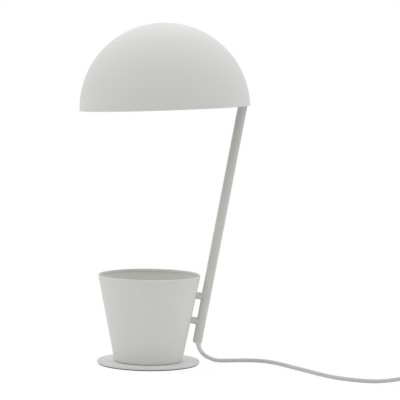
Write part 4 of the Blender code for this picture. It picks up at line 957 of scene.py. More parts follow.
@dataclass(frozen=True)
class Cord(Assembly):
    """The white mains cord: down from the tube, over the floor, switch, coil, plug.

    The route is in millimetres. It starts at the tube's lower end, and its first
    relief_length lies inside the strain relief.
    """

    route_mm: tuple[Triple, ...] = (
        (58.6, 0, 25.1), (59.7, 0.2, 20.6), (61.4, 0.7, 16.2), (63.8, 1.3, 12.5), (67.2, 2.3, 9.3),
        (71.6, 3.9, 6.6), (76.6, 5.8, 4.2), (81.6, 7.8, 2.8), (87, 9.4, 2.3), (95, 10.6, 2.3),
        (104, 12, 2.3), (114, 13.2, 2.3), (124, 13, 2.3), (133, 10.6, 2.3), (142, 5.2, 2.3),
        (150, -2.8, 2.3), (157, -13.5, 2.3), (165, -27, 2.3), (173, -40.5, 2.3),
        (181, -54, 2.3), (189, -67.5, 2.3), (196, -79.5, 2.3), (204, -92, 2.3),
        (214, -104, 2.3), (226, -114, 2.3), (240, -121.5, 2.3), (256, -126.8, 2.6),
        (272, -130, 4.4), (283, -131, 6.3), (291.7, -131, 6.8),
    )
    relief_length: float = 12.5 * MM
    relief_hides: float = 0.5 * MM
    switch_room: float = 0.3 * MM
    thinned: int = 3
    link_start: Triple = (348.3 * MM, CORD_ASIDE, 6.8 * MM)
    link_length: float = 26 * MM
    coil_entry_x: float = 379.2 * MM
    coil_inner_radius: float = 17.9 * MM
    pitch: float = 5.02 * MM
    layer_turns: float = 4.0
    loop_points: int = 96
    floor_clearance: float = 1.3 * MM
    tail_start_x: float = 384.1 * MM
    tail_length: float = 25 * MM
    tail_end_height: float = 6.85 * MM
    level_share: float = 0.2
    rise_steps: int = 8
    tie_width: float = 6 * MM
    tie_thickness: float = 0.7 * MM
    tie_room: float = 0.5 * MM
    tie_fillet: float = 2 * MM
    tie_edge: float = 0.2 * MM

    @property
    def low(self) -> float:
        """Height of the lower layer's middle."""
        return CORD_RADIUS + self.floor_clearance

    @property
    def high(self) -> float:
        """Height of the upper layer's middle."""
        return self.low + self.pitch

    @property
    def outer(self) -> float:
        """Radius of the coil at the middle of its outermost turn."""
        return self.coil_inner_radius + self.pitch * self.layer_turns

    def route(self) -> list[Vector]:
        """The route as a fine smooth curve."""
        return smooth_path([Vector(point) * MM for point in self.route_mm])

    def rising(self, start: Vector, length: float, rise: float) -> list[Vector]:
        """A short stretch along X that rises and ends level.

        Args:
            start: Where it starts.
            length: How long it is.
            rise: How far it rises.

        Returns:
            Its points.
        """
        level = length * self.level_share
        corners = ((0, 0), (level, 0), (length - level, rise), (length, rise))
        return smooth_path([start + Vector((x, 0, z)) for x, z in corners], self.rise_steps)

    def coil(self) -> list[Vector]:
        """Wind the cord inwards along the upper layer and outwards along the lower one.

        Returns:
            The points of its middle line.
        """
        half_way = FULL_TURN * self.layer_turns
        centre = Vector((self.coil_entry_x, CORD_ASIDE + self.outer, 0))
        count = round(2 * self.layer_turns * self.loop_points)
        points = []
        for i in range(count + 1):
            turn = 2 * half_way * i / count
            radius = self.coil_inner_radius + self.pitch * abs(turn - half_way) / FULL_TURN
            fall = min(max((turn - half_way) / math.pi + 0.5, 0), 1)
            height = self.high + (self.low - self.high) * fall * fall * (3 - 2 * fall)
            angle = turn - QUARTER
            spot = Vector((math.cos(angle) * radius, math.sin(angle) * radius, height))
            points.append(centre + spot)
        return points

    def make_lead(self) -> Piece:
        """Lay the stretch from the strain relief to the switch.

        Returns:
            The piece.
        """
        fine = self.route()
        start = self.relief_length - self.relief_hides
        points = stretch(fine, start, path_length(fine) - self.switch_room)
        lead = round_wire("mains_cord", points[:: self.thinned] + points[-1:], CORD_RADIUS)
        return self.add(lead, SOFT_PVC, "cord_lead")

    def make_stored(self) -> Piece:
        """Lay the stretch from the switch to the plug, wound into a coil.

        Returns:
            The piece.
        """
        start = Vector(self.link_start)
        link = self.rising(start, self.link_length, self.high - start.z)
        tail_start = Vector((self.tail_start_x, CORD_ASIDE, self.low))
        tail = self.rising(tail_start, self.tail_length, self.tail_end_height - self.low)
        points = link[:-1] + self.coil() + tail[1:]
        stored = round_wire("stored_cord", points, CORD_RADIUS)
        return self.add(stored, SOFT_PVC, "cord_link", "cord_coil", "cord_tail")

    def make_tie(self) -> Piece:
        """Put the tie's band round all turns of the coil, on its far side.

        Returns:
            The piece.
        """
        half = CORD_RADIUS + self.tie_room
        near = self.outer + self.coil_inner_radius + self.pitch / 2 - half
        far = 2 * self.outer - self.pitch / 2 + half
        inner, outer = (
            rounded_box(
                near - wall,
                far + wall,
                self.low - half - wall,
                self.high + half + wall,
                self.tie_fillet + wall,
            )
            for wall in (0, self.tie_thickness)
        )
        tie = plate("cord_tie_band", outer, self.tie_width, (inner,), self.tie_edge)
        placed(tie, shift(self.coil_entry_x, CORD_ASIDE) @ spin(QUARTER, "Z") @ spin(QUARTER, "X"))
        return self.add(tie, BLACK_NYLON, "cord_tie")

    def declare(
        self, lead: Piece, stored: Piece, on_lead: list[Piece], on_stored: list[Piece]
    ) -> None:
        """Take both stretches of the cord with the pieces on them, and do nothing with them.

        Args:
            lead: The stretch from the lamp to the switch; not used.
            stored: The stretch from the switch to the plug; not used.
            on_lead: The switch's pieces; not used.
            on_stored: The plug's pieces and the tie; not used.
        """


# Fasteners


SCREW_SIDES = 48
CROWN_CHORDS = 10
SCREW_EDGE = 0.12  # the edge under a round head, as a share of its height
SHANK_TIP = 0.75  # the chamfered end of a shank, as a share of its radius
SOCKET_FLATS = 0.98  # the socket as shares of the head's radius
SOCKET_CORNER = 0.03
SOCKET_DEPTH = 1.4  # and of its height
SOCKET_MIDDLE = 1.15
NUT_EDGE = 0.15 * MM
NUT_CHAMFER = 0.98  # where a nut's chamfer starts, as a share of half its flats
NUT_SLOPE = 0.6
NUT_SPARE = 0.1 * MM  # how far the chamfer's cone reaches past the corners


def threaded(radius: float, low: float, high: float, pitch: float) -> Outline:
    """The half outline of a threaded end, from its foot up to its chamfered tip.

    Args:
        radius: The thread's outer radius.
        low: Where it starts.
        high: Where it ends.
        pitch: From one ridge to the next.

    Returns:
        The points, from the outside of the foot to the axis at the tip.
    """
    half = pitch / 2
    points: Outline = [(radius, low)]
    height = low + half
    while height < high - 3 * half:
        points += [(radius - half, height), (radius, height + half)]
        height += pitch
    return [*points, (radius - half, high), (0, high)]


def pan_screw(name: str, shank: float, length: float, head: float, height: float) -> Piece:
    """A round-headed screw along Z with a six-sided socket; its head sits on Z = 0.

    Args:
        name: The object's name.
        shank: The shank's radius.
        length: The shank's length.
        head: The head's radius.
        height: The head's height.

    Returns:
        The object.
    """
    low_edge = height * SCREW_EDGE
    crown = [
        (head * math.sin(a), height - (1 - math.cos(a)) * (height - low_edge))
        for a in (QUARTER * i / CROWN_CHORDS for i in range(1, CROWN_CHORDS + 1))
    ]
    outline = [(0, height), *crown, (head - low_edge, 0), (shank, 0)]
    tip = shank * SHANK_TIP
    outline += [(shank, shank - tip - length), (tip, -length), (0, -length)]
    body = turned(name, outline, SCREW_SIDES, closed=False)
    flats, depth, middle = head * SOCKET_FLATS, height * SOCKET_DEPTH, height * SOCKET_MIDDLE
    socket = plate("socket", hexagon(flats, head * SOCKET_CORNER), depth)
    return combined(body, placed(socket, shift(z=middle)), "DIFFERENCE")


def hex_nut(name: str, flats: float, low: float, height: float, bore: float) -> Piece:
    """A six-sided nut along Z with its corners turned down, standing on low.

    Args:
        name: The object's name.
        flats: Its width across flats.
        low: Where its lower face is.
        height: Its height.
        bore: Its bore's radius.

    Returns:
        The object.
    """
    body = plate(name, hexagon(flats), height, (circle(bore, BORE_SIDES),), NUT_EDGE)
    placed(body, shift(z=low + height / 2))
    reach = flats / math.sqrt(3)
    face = flats / 2 * NUT_CHAMFER
    high, slope, out = low + height, (reach - face) * NUT_SLOPE, reach + NUT_SPARE
    outline = [
        (0, low - MM), (face, low - MM), (face, low), (out, low + slope),
        (out, high - slope), (face, high), (face, high + MM), (0, high + MM),
    ]
    return combined(body, turned("cone", outline, SMALL_SIDES, closed=False), "INTERSECT")


# Base and cup


@dataclass(frozen=True)
class BaseAndCup(Assembly):
    """The round base on its pad, and the tapered pen cup that one screw holds on it."""

    pad_radius: float = 59.5 * MM
    pad_thickness: float = 0.7 * MM
    pad_edge: float = 0.2 * MM
    base_radius: float = 60.5 * MM
    base_low: float = 1.0 * MM
    base_high: float = 3.3 * MM
    base_fillet: float = 0.7 * MM
    cup_foot: float = 3.6 * MM
    cup_height: float = 102 * MM
    cup_top_radius: float = 60.6 * MM
    cup_bottom_radius: float = 40.3 * MM
    cup_wall: float = 1.2 * MM
    foot_fillet: float = 1.8 * MM
    rim_fillet: float = 0.95 * MM
    hem_width: float = 2 * MM
    hem_height: float = 3 * MM
    hem_fillet: float = 0.35 * MM
    screw_radius: float = 3 * MM
    screw_head_radius: float = 4.8 * MM
    screw_pitch: float = 1 * MM
    screw_end: float = 4 * MM
    socket_flats: float = 4 * MM
    socket_depth: float = 1.8 * MM
    washer_radius: float = 9 * MM
    washer_thickness: float = 1.2 * MM
    washer_edge: float = 0.2 * MM
    nut_flats: float = 10 * MM
    nut_height: float = 4.8 * MM
    dome_radius: float = 4.6 * MM
    dome_height: float = 4.2 * MM
    dome_sunk: float = 0.2 * MM
    dome_chords: int = 14
    sides: int = 192
    chords: int = 8

    @property
    def taper(self) -> float:
        """How much the cup's radius grows for each length of height."""
        return (self.cup_top_radius - self.cup_bottom_radius) / self.cup_height

    def build(self) -> None:
        """Build the pad, the base, the cup and the screw's pieces."""
        self.make_base()
        self.make_cup()
        self.make_foot_screw()

    def make_base(self) -> None:
        """The foam pad and the disc, with its countersunk hole."""
        pad = pin("foam_pad", self.pad_radius, 0, self.pad_thickness, self.pad_edge, FINE_SIDES)
        self.add(pad, FOAM_AND_PAINTED_SHADE, "base_pad")
        hole = self.screw_radius + GAP
        head = self.screw_head_radius + GAP
        corners = [
            (self.base_radius, self.base_high, self.base_fillet),
            (hole, self.base_high, 0),
            (hole, self.base_low + head - hole, 0),
            (head, self.base_low, 0),
            (self.base_radius, self.base_low, self.base_fillet),
        ]
        disc = turned("round_base", filleted(corners, steps=self.chords), self.sides)
        self.add(disc, POWDER_BASE_PAINTED_SHADE, "base_disc")

    def make_cup(self) -> None:
        """The cup: a seamless tapered wall, a flat floor and a rim that is folded inwards."""
        side = math.hypot(1, self.taper) * self.cup_wall
        inner_floor = self.cup_bottom_radius + self.cup_wall * self.taper - side
        hole = self.screw_radius + GAP
        top = self.cup_foot + self.cup_height
        floor = self.cup_foot + self.cup_wall
        under_hem = self.cup_top_radius - self.hem_height * self.taper
        hem_foot = top - self.hem_height
        corners = [
            (self.cup_top_radius - self.hem_width, top, self.rim_fillet),
            (self.cup_top_radius, top, self.rim_fillet),
            (self.cup_bottom_radius, self.cup_foot, self.foot_fillet),
            (hole, self.cup_foot, 0),
            (hole, floor, 0),
            (inner_floor, floor, self.foot_fillet / 2),
            (under_hem - side, hem_foot, 0),
            (under_hem - self.hem_width, hem_foot, self.hem_fillet),
        ]
        cup = turned("tapered_pen_cup", filleted(corners, steps=self.chords), self.sides)
        self.add(cup, POWDER_CUP_PAINTED_SHADE, "pen_cup")

    def make_foot_screw(self) -> None:
        """The countersunk screw, its washer and the domed nut inside the cup."""
        low, head, shank = self.base_low, self.screw_head_radius, self.screw_radius
        floor = self.cup_foot + self.cup_wall + GAP
        seat = floor + self.washer_thickness + GAP
        outline = [(0, low), (head, low), (shank, low + head - shank), (shank, seat)]
        pitch = self.screw_pitch
        outline += threaded(shank, seat + pitch / 2, seat + self.screw_end, pitch)
        screw = turned("countersunk_screw", outline, SCREW_SIDES, closed=False)
        socket = plate("socket", hexagon(self.socket_flats), 2 * self.socket_depth)
        screw = combined(screw, placed(socket, shift(z=low)), "DIFFERENCE")
        self.add(screw, ZINC, "foot_screw")
        bore = shank + GAP
        high = floor + self.washer_thickness
        washer = ring("cup_washer", self.washer_radius, bore, floor, high, self.washer_edge)
        self.add(washer, ZINC, "foot_washer")
        body = hex_nut("cap_nut_body", self.nut_flats, seat, self.nut_height, bore)
        self.add(body, ZINC, "foot_cap_nut")
        base = seat + self.nut_height - self.dome_sunk
        rise = self.dome_height / self.dome_radius
        quarter = arc((0, 0), self.dome_radius, 0, QUARTER, self.dome_chords)
        dome = [(r, base + z * rise) for r, z in quarter]
        top = (0, base + self.dome_height)
        crown = turned("cap_nut_dome", [(0, base), *dome[:-1], top], SMALL_SIDES, closed=False)
        self.add(crown, ZINC, "foot_cap_nut")


# Tube, stubs and hinge


@dataclass(frozen=True)
class Stub(Assembly):
    """One of the two round stubs that tie the tube to the cup, with its screw inside the cup.

    Along is its place from the tube's lower end.
    """

    name: str
    along: float
    cup: BaseAndCup
    radius: float = 4.1 * MM
    hidden: float = 3.4 * MM
    wall_room: float = 0.05 * MM
    weld_radius: float = 0.7 * MM
    weld_steps: int = 96
    washer_radius: float = 4.5 * MM
    washer_thickness: float = 0.8 * MM
    washer_room: float = 0.6 * MM
    edge: float = 0.15 * MM
    screw_radius: float = 2 * MM
    head_radius: float = 3.6 * MM
    head_height: float = 2.4 * MM

    @property
    def reach(self) -> float:
        """Measure from the tube's axis to the cup's outer wall.

        Returns:
            The length, square to the tube.
        """
        start = STEM_FOOT + Vector((math.sin(LEAN), 0, math.cos(LEAN))) * self.along
        wall = self.cup.cup_bottom_radius + self.cup.taper * (start.z - self.cup.cup_foot)
        return (start.x - wall) / (math.cos(LEAN) + self.cup.taper * math.sin(LEAN))

    @property
    def place(self) -> Matrix:
        """Lays what is turned round Z square to the tube, towards the cup."""
        return STEM @ shift(z=self.along) @ spin(-QUARTER, "Y")

    def build(self) -> None:
        """Build the stub, its weld, its washer and its screw."""
        face, hidden = self.reach - self.wall_room, self.hidden
        corners = [
            (0, face, 0), (self.radius, face, self.edge), (self.radius, hidden, 0), (0, hidden, 0),
        ]
        body = spindle(f"{self.name}_spacer", corners, TUBE_SIDES)
        self.add(body, POWDER_TUBE_PAINTED_SHADE, f"{self.name}_stub")
        self.make_weld()
        slant = abs(math.sin(LEAN - math.atan(self.cup.taper)))
        low = self.reach + self.cup.cup_wall + self.washer_room + self.washer_radius * slant
        high = low + self.washer_thickness
        name, bore = f"{self.name}_spacer_washer", self.screw_radius + GAP
        washer = ring(name, self.washer_radius, bore, low, high, self.edge)
        self.add(washer, ZINC, f"{self.name}_stub_washer")
        name, seat = f"{self.name}_spacer_screw", high + GAP
        screw = pan_screw(name, self.screw_radius, seat - face, self.head_radius, self.head_height)
        self.add(screw, ZINC, f"{self.name}_stub_screw", at=self.place @ shift(z=seat))

    def make_weld(self) -> None:
        """The bead where the stub meets the round tube, under the same powder coat."""
        points = [
            self.place @ Vector((x, y, math.sqrt(STEM_RADIUS**2 - y**2)))
            for x, y in circle(self.radius, self.weld_steps)
        ]
        bead = round_wire(f"{self.name}_spacer_weld", points, self.weld_radius)
        bead.data.splines[0].use_cyclic_u = True
        bead = as_mesh(bead, f"{self.name}_spacer_weld_bead")
        self.add(bead, POWDER_TUBE_PAINTED_SHADE, f"{self.name}_stub", at=LAMP)


@dataclass(frozen=True)
class Stem(Assembly):
    """The leaning tube with the bush and strain relief in its foot."""

    place: ClassVar[Matrix] = STEM
    end_fillet: float = 0.35 * MM
    bush_depth: float = 12 * MM
    bush_room: float = 0.1 * MM
    bush_tip: float = 0.4 * MM
    bush_cover: float = 0.05 * MM
    bush_edge: float = 0.2 * MM
    bush_flange: float = 1.6 * MM
    bush_fillet: float = 1.4 * MM
    relief_start: float = 0.2 * MM
    relief_radius: float = 2.8 * MM
    relief_end_radius: float = 2.45 * MM
    relief_rings: int = 6
    relief_groove: float = 0.07
    grooved_from: float = 0.15
    grooved_to: float = 0.95

    def build(self, cord: Cord) -> None:
        """Build the tube and the bush.

        Args:
            cord: Gives the route that the strain relief follows.
        """
        bore = STEM_RADIUS - STEM_WALL
        tube = ring(
            "leaning_tube", STEM_RADIUS, bore, 0, STEM_LENGTH, self.end_fillet, TUBE_SIDES
        )
        self.add(tube, POWDER_TUBE_PAINTED_SHADE, "stem_tube")
        plug, foot = bore - self.bush_room, -GAP - self.bush_flange
        corners = [
            (0, self.bush_depth, 0),
            (plug, self.bush_depth, self.bush_tip),
            (plug, -self.bush_cover, 0),
            (STEM_RADIUS, -self.bush_cover, self.bush_edge),
            (STEM_RADIUS, foot, self.bush_fillet),
            (0, foot, 0),
        ]
        self.add(spindle("tube_bush", corners), WHITE_PLASTIC, "cord_bush")
        self.make_relief(cord)

    def make_relief(self, cord: Cord) -> None:
        """The tapered strain relief round the cord's start, with shallow flex grooves.

        Args:
            cord: Gives the route that it follows.
        """
        fine = smooth_path(cord.route(), 3)
        points = stretch(fine, self.relief_start, cord.relief_length)
        shares = []
        for i in range(len(points)):
            t = i / (len(points) - 1)
            even = 1 + (self.relief_end_radius / self.relief_radius - 1) * t
            groove = max(0, math.sin(FULL_TURN * self.relief_rings * t)) ** 2
            grooved = self.grooved_from < t < self.grooved_to
            shares.append(even * (1 - self.relief_groove * groove * grooved))
        relief = round_wire("strain_relief", points, self.relief_radius, shares)
        self.add(relief, WHITE_PLASTIC, "cord_bush", at=LAMP)


@dataclass(frozen=True)
class Hinge(Assembly):
    """The tilting hinge: knuckle and lug on the tube, washers and screw on the pivot.

    What is turned round Z lies across on the pivot, its Z towards the screw's head.
    """

    place: ClassVar[Matrix] = STEM
    across: ClassVar[Matrix] = HINGE @ spin(QUARTER, "X")
    plug_radius: float = 4.2 * MM
    plug_stands: float = 1.8 * MM
    plug_edge: float = 0.3 * MM
    slot_half: float = 3 * MM
    slot_length: float = 40 * MM
    slot_below: float = 5 * MM
    lug_side: float = 0.2 * MM
    lug_thickness: float = 4 * MM
    lug_edge: float = 0.5 * MM
    eye_radius: float = 6 * MM
    root_half: float = 3.5 * MM
    screw_radius: float = 2.5 * MM
    head_radius: float = 4.5 * MM
    head_height: float = 3.3 * MM
    friction_radius: float = 5.7 * MM
    friction_thickness: float = 0.8 * MM
    spring_radius: float = 4.6 * MM
    spring_thickness: float = 0.9 * MM
    spring_split: float = 0.7 * MM
    spring_slant: float = math.radians(20)
    split_height: float = 4 * MM
    washer_edge: float = 0.1 * MM
    ear_low: float = 5.6 * MM
    pin_radius: float = 1 * MM
    pin_edge: float = 0.25 * MM
    pin_room: float = 0.1 * MM
    pin_below: float = 5.5 * MM
    pin_side: float = -2.09 * MM

    def build(self) -> None:
        """Build the knuckle, its pin, the washers and the screw."""
        self.make_knuckle()
        bore = self.screw_radius + GAP
        low = self.lug_side + self.lug_thickness + GAP
        high = low + self.friction_thickness
        washer = ring(
            "hinge_friction_washer", self.friction_radius, bore, low, high, self.washer_edge
        )
        self.add(washer, ZINC, "friction_washer", at=self.across)
        low = self.ear_low + EAR_THICKNESS + GAP
        self.add(self.make_spring_washer(low), ZINC, "tilt_spring_washer", at=self.across)
        seat = low + self.spring_thickness + GAP
        length = seat - self.lug_side - GAP
        screw = pan_screw(
            "hinge_screw", self.screw_radius, length, self.head_radius, self.head_height
        )
        self.add(screw, ZINC, "tilt_screw", at=self.across @ shift(z=seat))

    def make_spring_washer(self, low: float) -> Piece:
        """The split spring washer.

        Args:
            low: Where its lower face is.

        Returns:
            The object.
        """
        high = low + self.spring_thickness
        bore, outer, half = self.screw_radius + GAP, self.spring_radius, self.spring_split / 2
        body = ring("hinge_spring_washer", outer, bore, low, high, self.washer_edge)
        opening = rounded_box(bore - MM, outer + MM, -half, half, 0)
        split = plate("split", opening, self.split_height)
        placed(split, shift(z=(low + high) / 2) @ spin(self.spring_slant, "X"))
        return combined(body, split, "DIFFERENCE")

    def make_knuckle(self) -> None:
        """The plug in the tube's end, its lug, and the pin through both."""
        end = STEM_LENGTH
        low, high = end - PLUG_DEPTH, end + self.plug_stands
        plug = pin("knuckle_plug", self.plug_radius, low, high, self.plug_edge)
        wide = rounded_box(-self.slot_half, self.slot_half, self.lug_side, 2 * self.slot_half, 0)
        slot = placed(plate("slot", wide, self.slot_length), shift(z=end - self.slot_below))
        plug = combined(plug, slot, "DIFFERENCE")
        self.add(plug, ZINC, "stem_knuckle")
        pivot, root = (-PIVOT_ASIDE, end + PIVOT_RISE), end + GAP
        far = [(self.root_half, root), (-self.root_half, root)]
        outline = hull_outline(pivot, self.eye_radius, far)
        bore = circle(self.screw_radius + GAP, BORE_SIDES, pivot)
        lug = plate("hinge_lug", outline, self.lug_thickness, (bore,), self.lug_edge, standing=True)
        aside = shift(y=-self.lug_side - self.lug_thickness / 2)
        self.add(lug, ZINC, "stem_knuckle", at=STEM @ aside)
        half = math.sqrt(STEM_RADIUS**2 - self.pin_side**2) - self.pin_room
        body = pin("knuckle_pin", self.pin_radius, -half, half, self.pin_edge)
        spot = shift(0, self.pin_side, end - self.pin_below)
        self.add(body, ZINC, "stem_pin", at=STEM @ spot @ spin(QUARTER, "Y"))


# Shade and the strap inside it


@dataclass(frozen=True)
class Shade(Assembly):
    """The spun dome, its weld studs, the strap with the hinge's ear, and their nuts."""

    place: ClassVar[Matrix] = SHADE
    body: ClassVar[str] = "shade"
    radius: float = 100 * MM
    wall: float = 1 * MM
    rings: int = 72
    sides: int = 256
    rim_chords: int = 8
    strap_outer: float = 98.05 * MM
    strap_thickness: float = 1.5 * MM
    strap_half_width: float = 7.4 * MM
    strap_low: float = math.radians(6.5)
    strap_fold: float = 1.2 * MM
    strap_edge: float = 0.25 * MM
    strap_chords: int = 40
    leg_foot: float = 27 * MM
    ear_radius: float = 6.2 * MM
    ear_top: float = math.radians(14)
    eye: float = 2.8 * MM
    nipple_hole: float = 5.3 * MM
    hole_reach: float = 5 * MM
    stud_angles: tuple[float, float] = (math.radians(18.5), math.radians(34))
    stud_radius: float = 2 * MM
    stud_pitch: float = 0.7 * MM
    stud_room: float = 0.02 * MM
    washer_seat: float = 96.11 * MM
    washer_radius: float = 4.5 * MM
    washer_thickness: float = 0.8 * MM
    washer_edge: float = 0.1 * MM
    nut_seat: float = 95.01 * MM
    nut_flats: float = 7 * MM
    nut_height: float = 3.2 * MM
    stud_tip: float = 90.81 * MM

    def build(self) -> None:
        """Build the dome, the strap and the fasteners."""
        self.make_dome()
        self.make_strap()
        for name, angle in zip(("lower", "upper"), self.stud_angles):
            self.make_stud(name, angle)

    def make_dome(self) -> None:
        """The half sphere, open below, with its cut rim rounded over."""
        half = self.wall / 2
        least = half / self.radius
        outside = arc((0, 0), self.radius, QUARTER, least, self.rings)
        rim = arc((self.radius - half, half), half, 0, -math.pi, self.rim_chords)
        inside = arc((0, 0), self.radius - self.wall, least, QUARTER, self.rings)
        outside[0] = (0, self.radius)
        inside[-1] = (0, self.radius - self.wall)
        outline = outside + rim[1:-1] + inside
        dome = turned("spun_dome", outline, self.sides, closed=False)
        self.add(dome, POWDER_WHITE, "shade_dome")

    def make_strap(self) -> None:
        """The folded strap with its hanging leg, and the hinge's ear on its side."""
        outer, low, edge = self.strap_outer, self.strap_low, self.strap_edge
        inner = outer - self.strap_thickness
        near, far = LEG_OUT, LEG_OUT + self.strap_thickness
        up = arc((0, 0), outer, low, math.acos(near / outer), self.strap_chords)
        down = arc((0, 0), inner, math.acos(far / inner), low, self.strap_chords)
        corners = [(*up[-2], 0), (*up[-1], self.strap_fold), (near, self.leg_foot, 0)]
        outline = [*up[:-2], *filleted(corners, False), (far, self.leg_foot), *down]
        width = 2 * self.strap_half_width
        strap = plate("shade_strap", outline, width, edge=edge, standing=True)
        hole = pin("hole", self.nipple_hole, -self.hole_reach, self.hole_reach, 0)
        placed(hole, shift(near, 0, HOLDER_UP) @ spin(-QUARTER, "Y"))
        strap = combined(strap, hole, "DIFFERENCE")
        self.add(strap, POWDER_WHITE, "shade_bracket")
        middle = (outer + inner) / 2
        ends = [
            (middle * math.cos(angle) - PIVOT_OUT, middle * math.sin(angle) - PIVOT_UP)
            for angle in (low, self.ear_top)
        ]
        outline = hull_outline((0, 0), self.ear_radius, ends)
        bore = circle(self.eye, BORE_SIDES)
        ear = plate("hinge_ear", outline, EAR_THICKNESS, (bore,), edge, standing=True)
        aside = shift(y=EAR_THICKNESS / 2 - self.strap_half_width)
        self.add(ear, POWDER_WHITE, "shade_bracket", at=TILT @ aside)

    def make_stud(self, name: str, angle: float) -> None:
        """A weld stud with its washer and nut.

        Args:
            name: Which stud it is.
            angle: Where it stands, above the rim's plane.
        """
        outwards = SHADE @ spin(QUARTER - angle, "Y")
        root = self.radius - self.wall - self.stud_room
        outline = threaded(self.stud_radius, -root, -self.stud_tip, self.stud_pitch)
        stud = turned(f"{name}_weld_stud", [(0, -root), *outline], SCREW_SIDES, closed=False)
        self.add(stud, ZINC, "shade_dome", at=outwards @ spin(math.pi, "X"))
        high, bore = self.washer_seat, self.stud_radius + GAP
        low = high - self.washer_thickness
        washer = ring(f"{name}_strap_washer", self.washer_radius, bore, low, high, self.washer_edge)
        self.add(washer, ZINC, f"{name}_bracket_washer", at=outwards)
        seat = self.nut_seat - self.nut_height
        body = hex_nut(f"{name}_strap_nut", self.nut_flats, seat, self.nut_height, bore)
        self.add(body, ZINC, f"{name}_bracket_nut", at=outwards)


# Lampholder and bulb, turned round the holder's axis


@dataclass(frozen=True)
class Thread:
    """A round screw thread on a turned wall: a true helix between two heights."""

    low: float
    high: float
    pitch: float = 2.82 * MM
    depth: float = 0.35 * MM
    sides: int = 72

    def heights(self, steps: int) -> list[float]:
        """The heights of the rings that show the thread, from low to high."""
        return [self.low + (self.high - self.low) * i / steps for i in range(steps + 1)]

    def __call__(self, angle: float, radius: float, height: float) -> float:
        """Give the wall its thread.

        Args:
            angle: The angle round the axis.
            radius: The plain wall's radius.
            height: The height along the axis.

        Returns:
            The threaded wall's radius there.
        """
        ends = min(height - self.low, self.high - height) / (self.pitch / 2)
        share = min(max(ends, 0), 1)
        wave = math.cos(FULL_TURN * height / self.pitch - angle)
        return radius - self.depth * share * (1 - wave) / 2


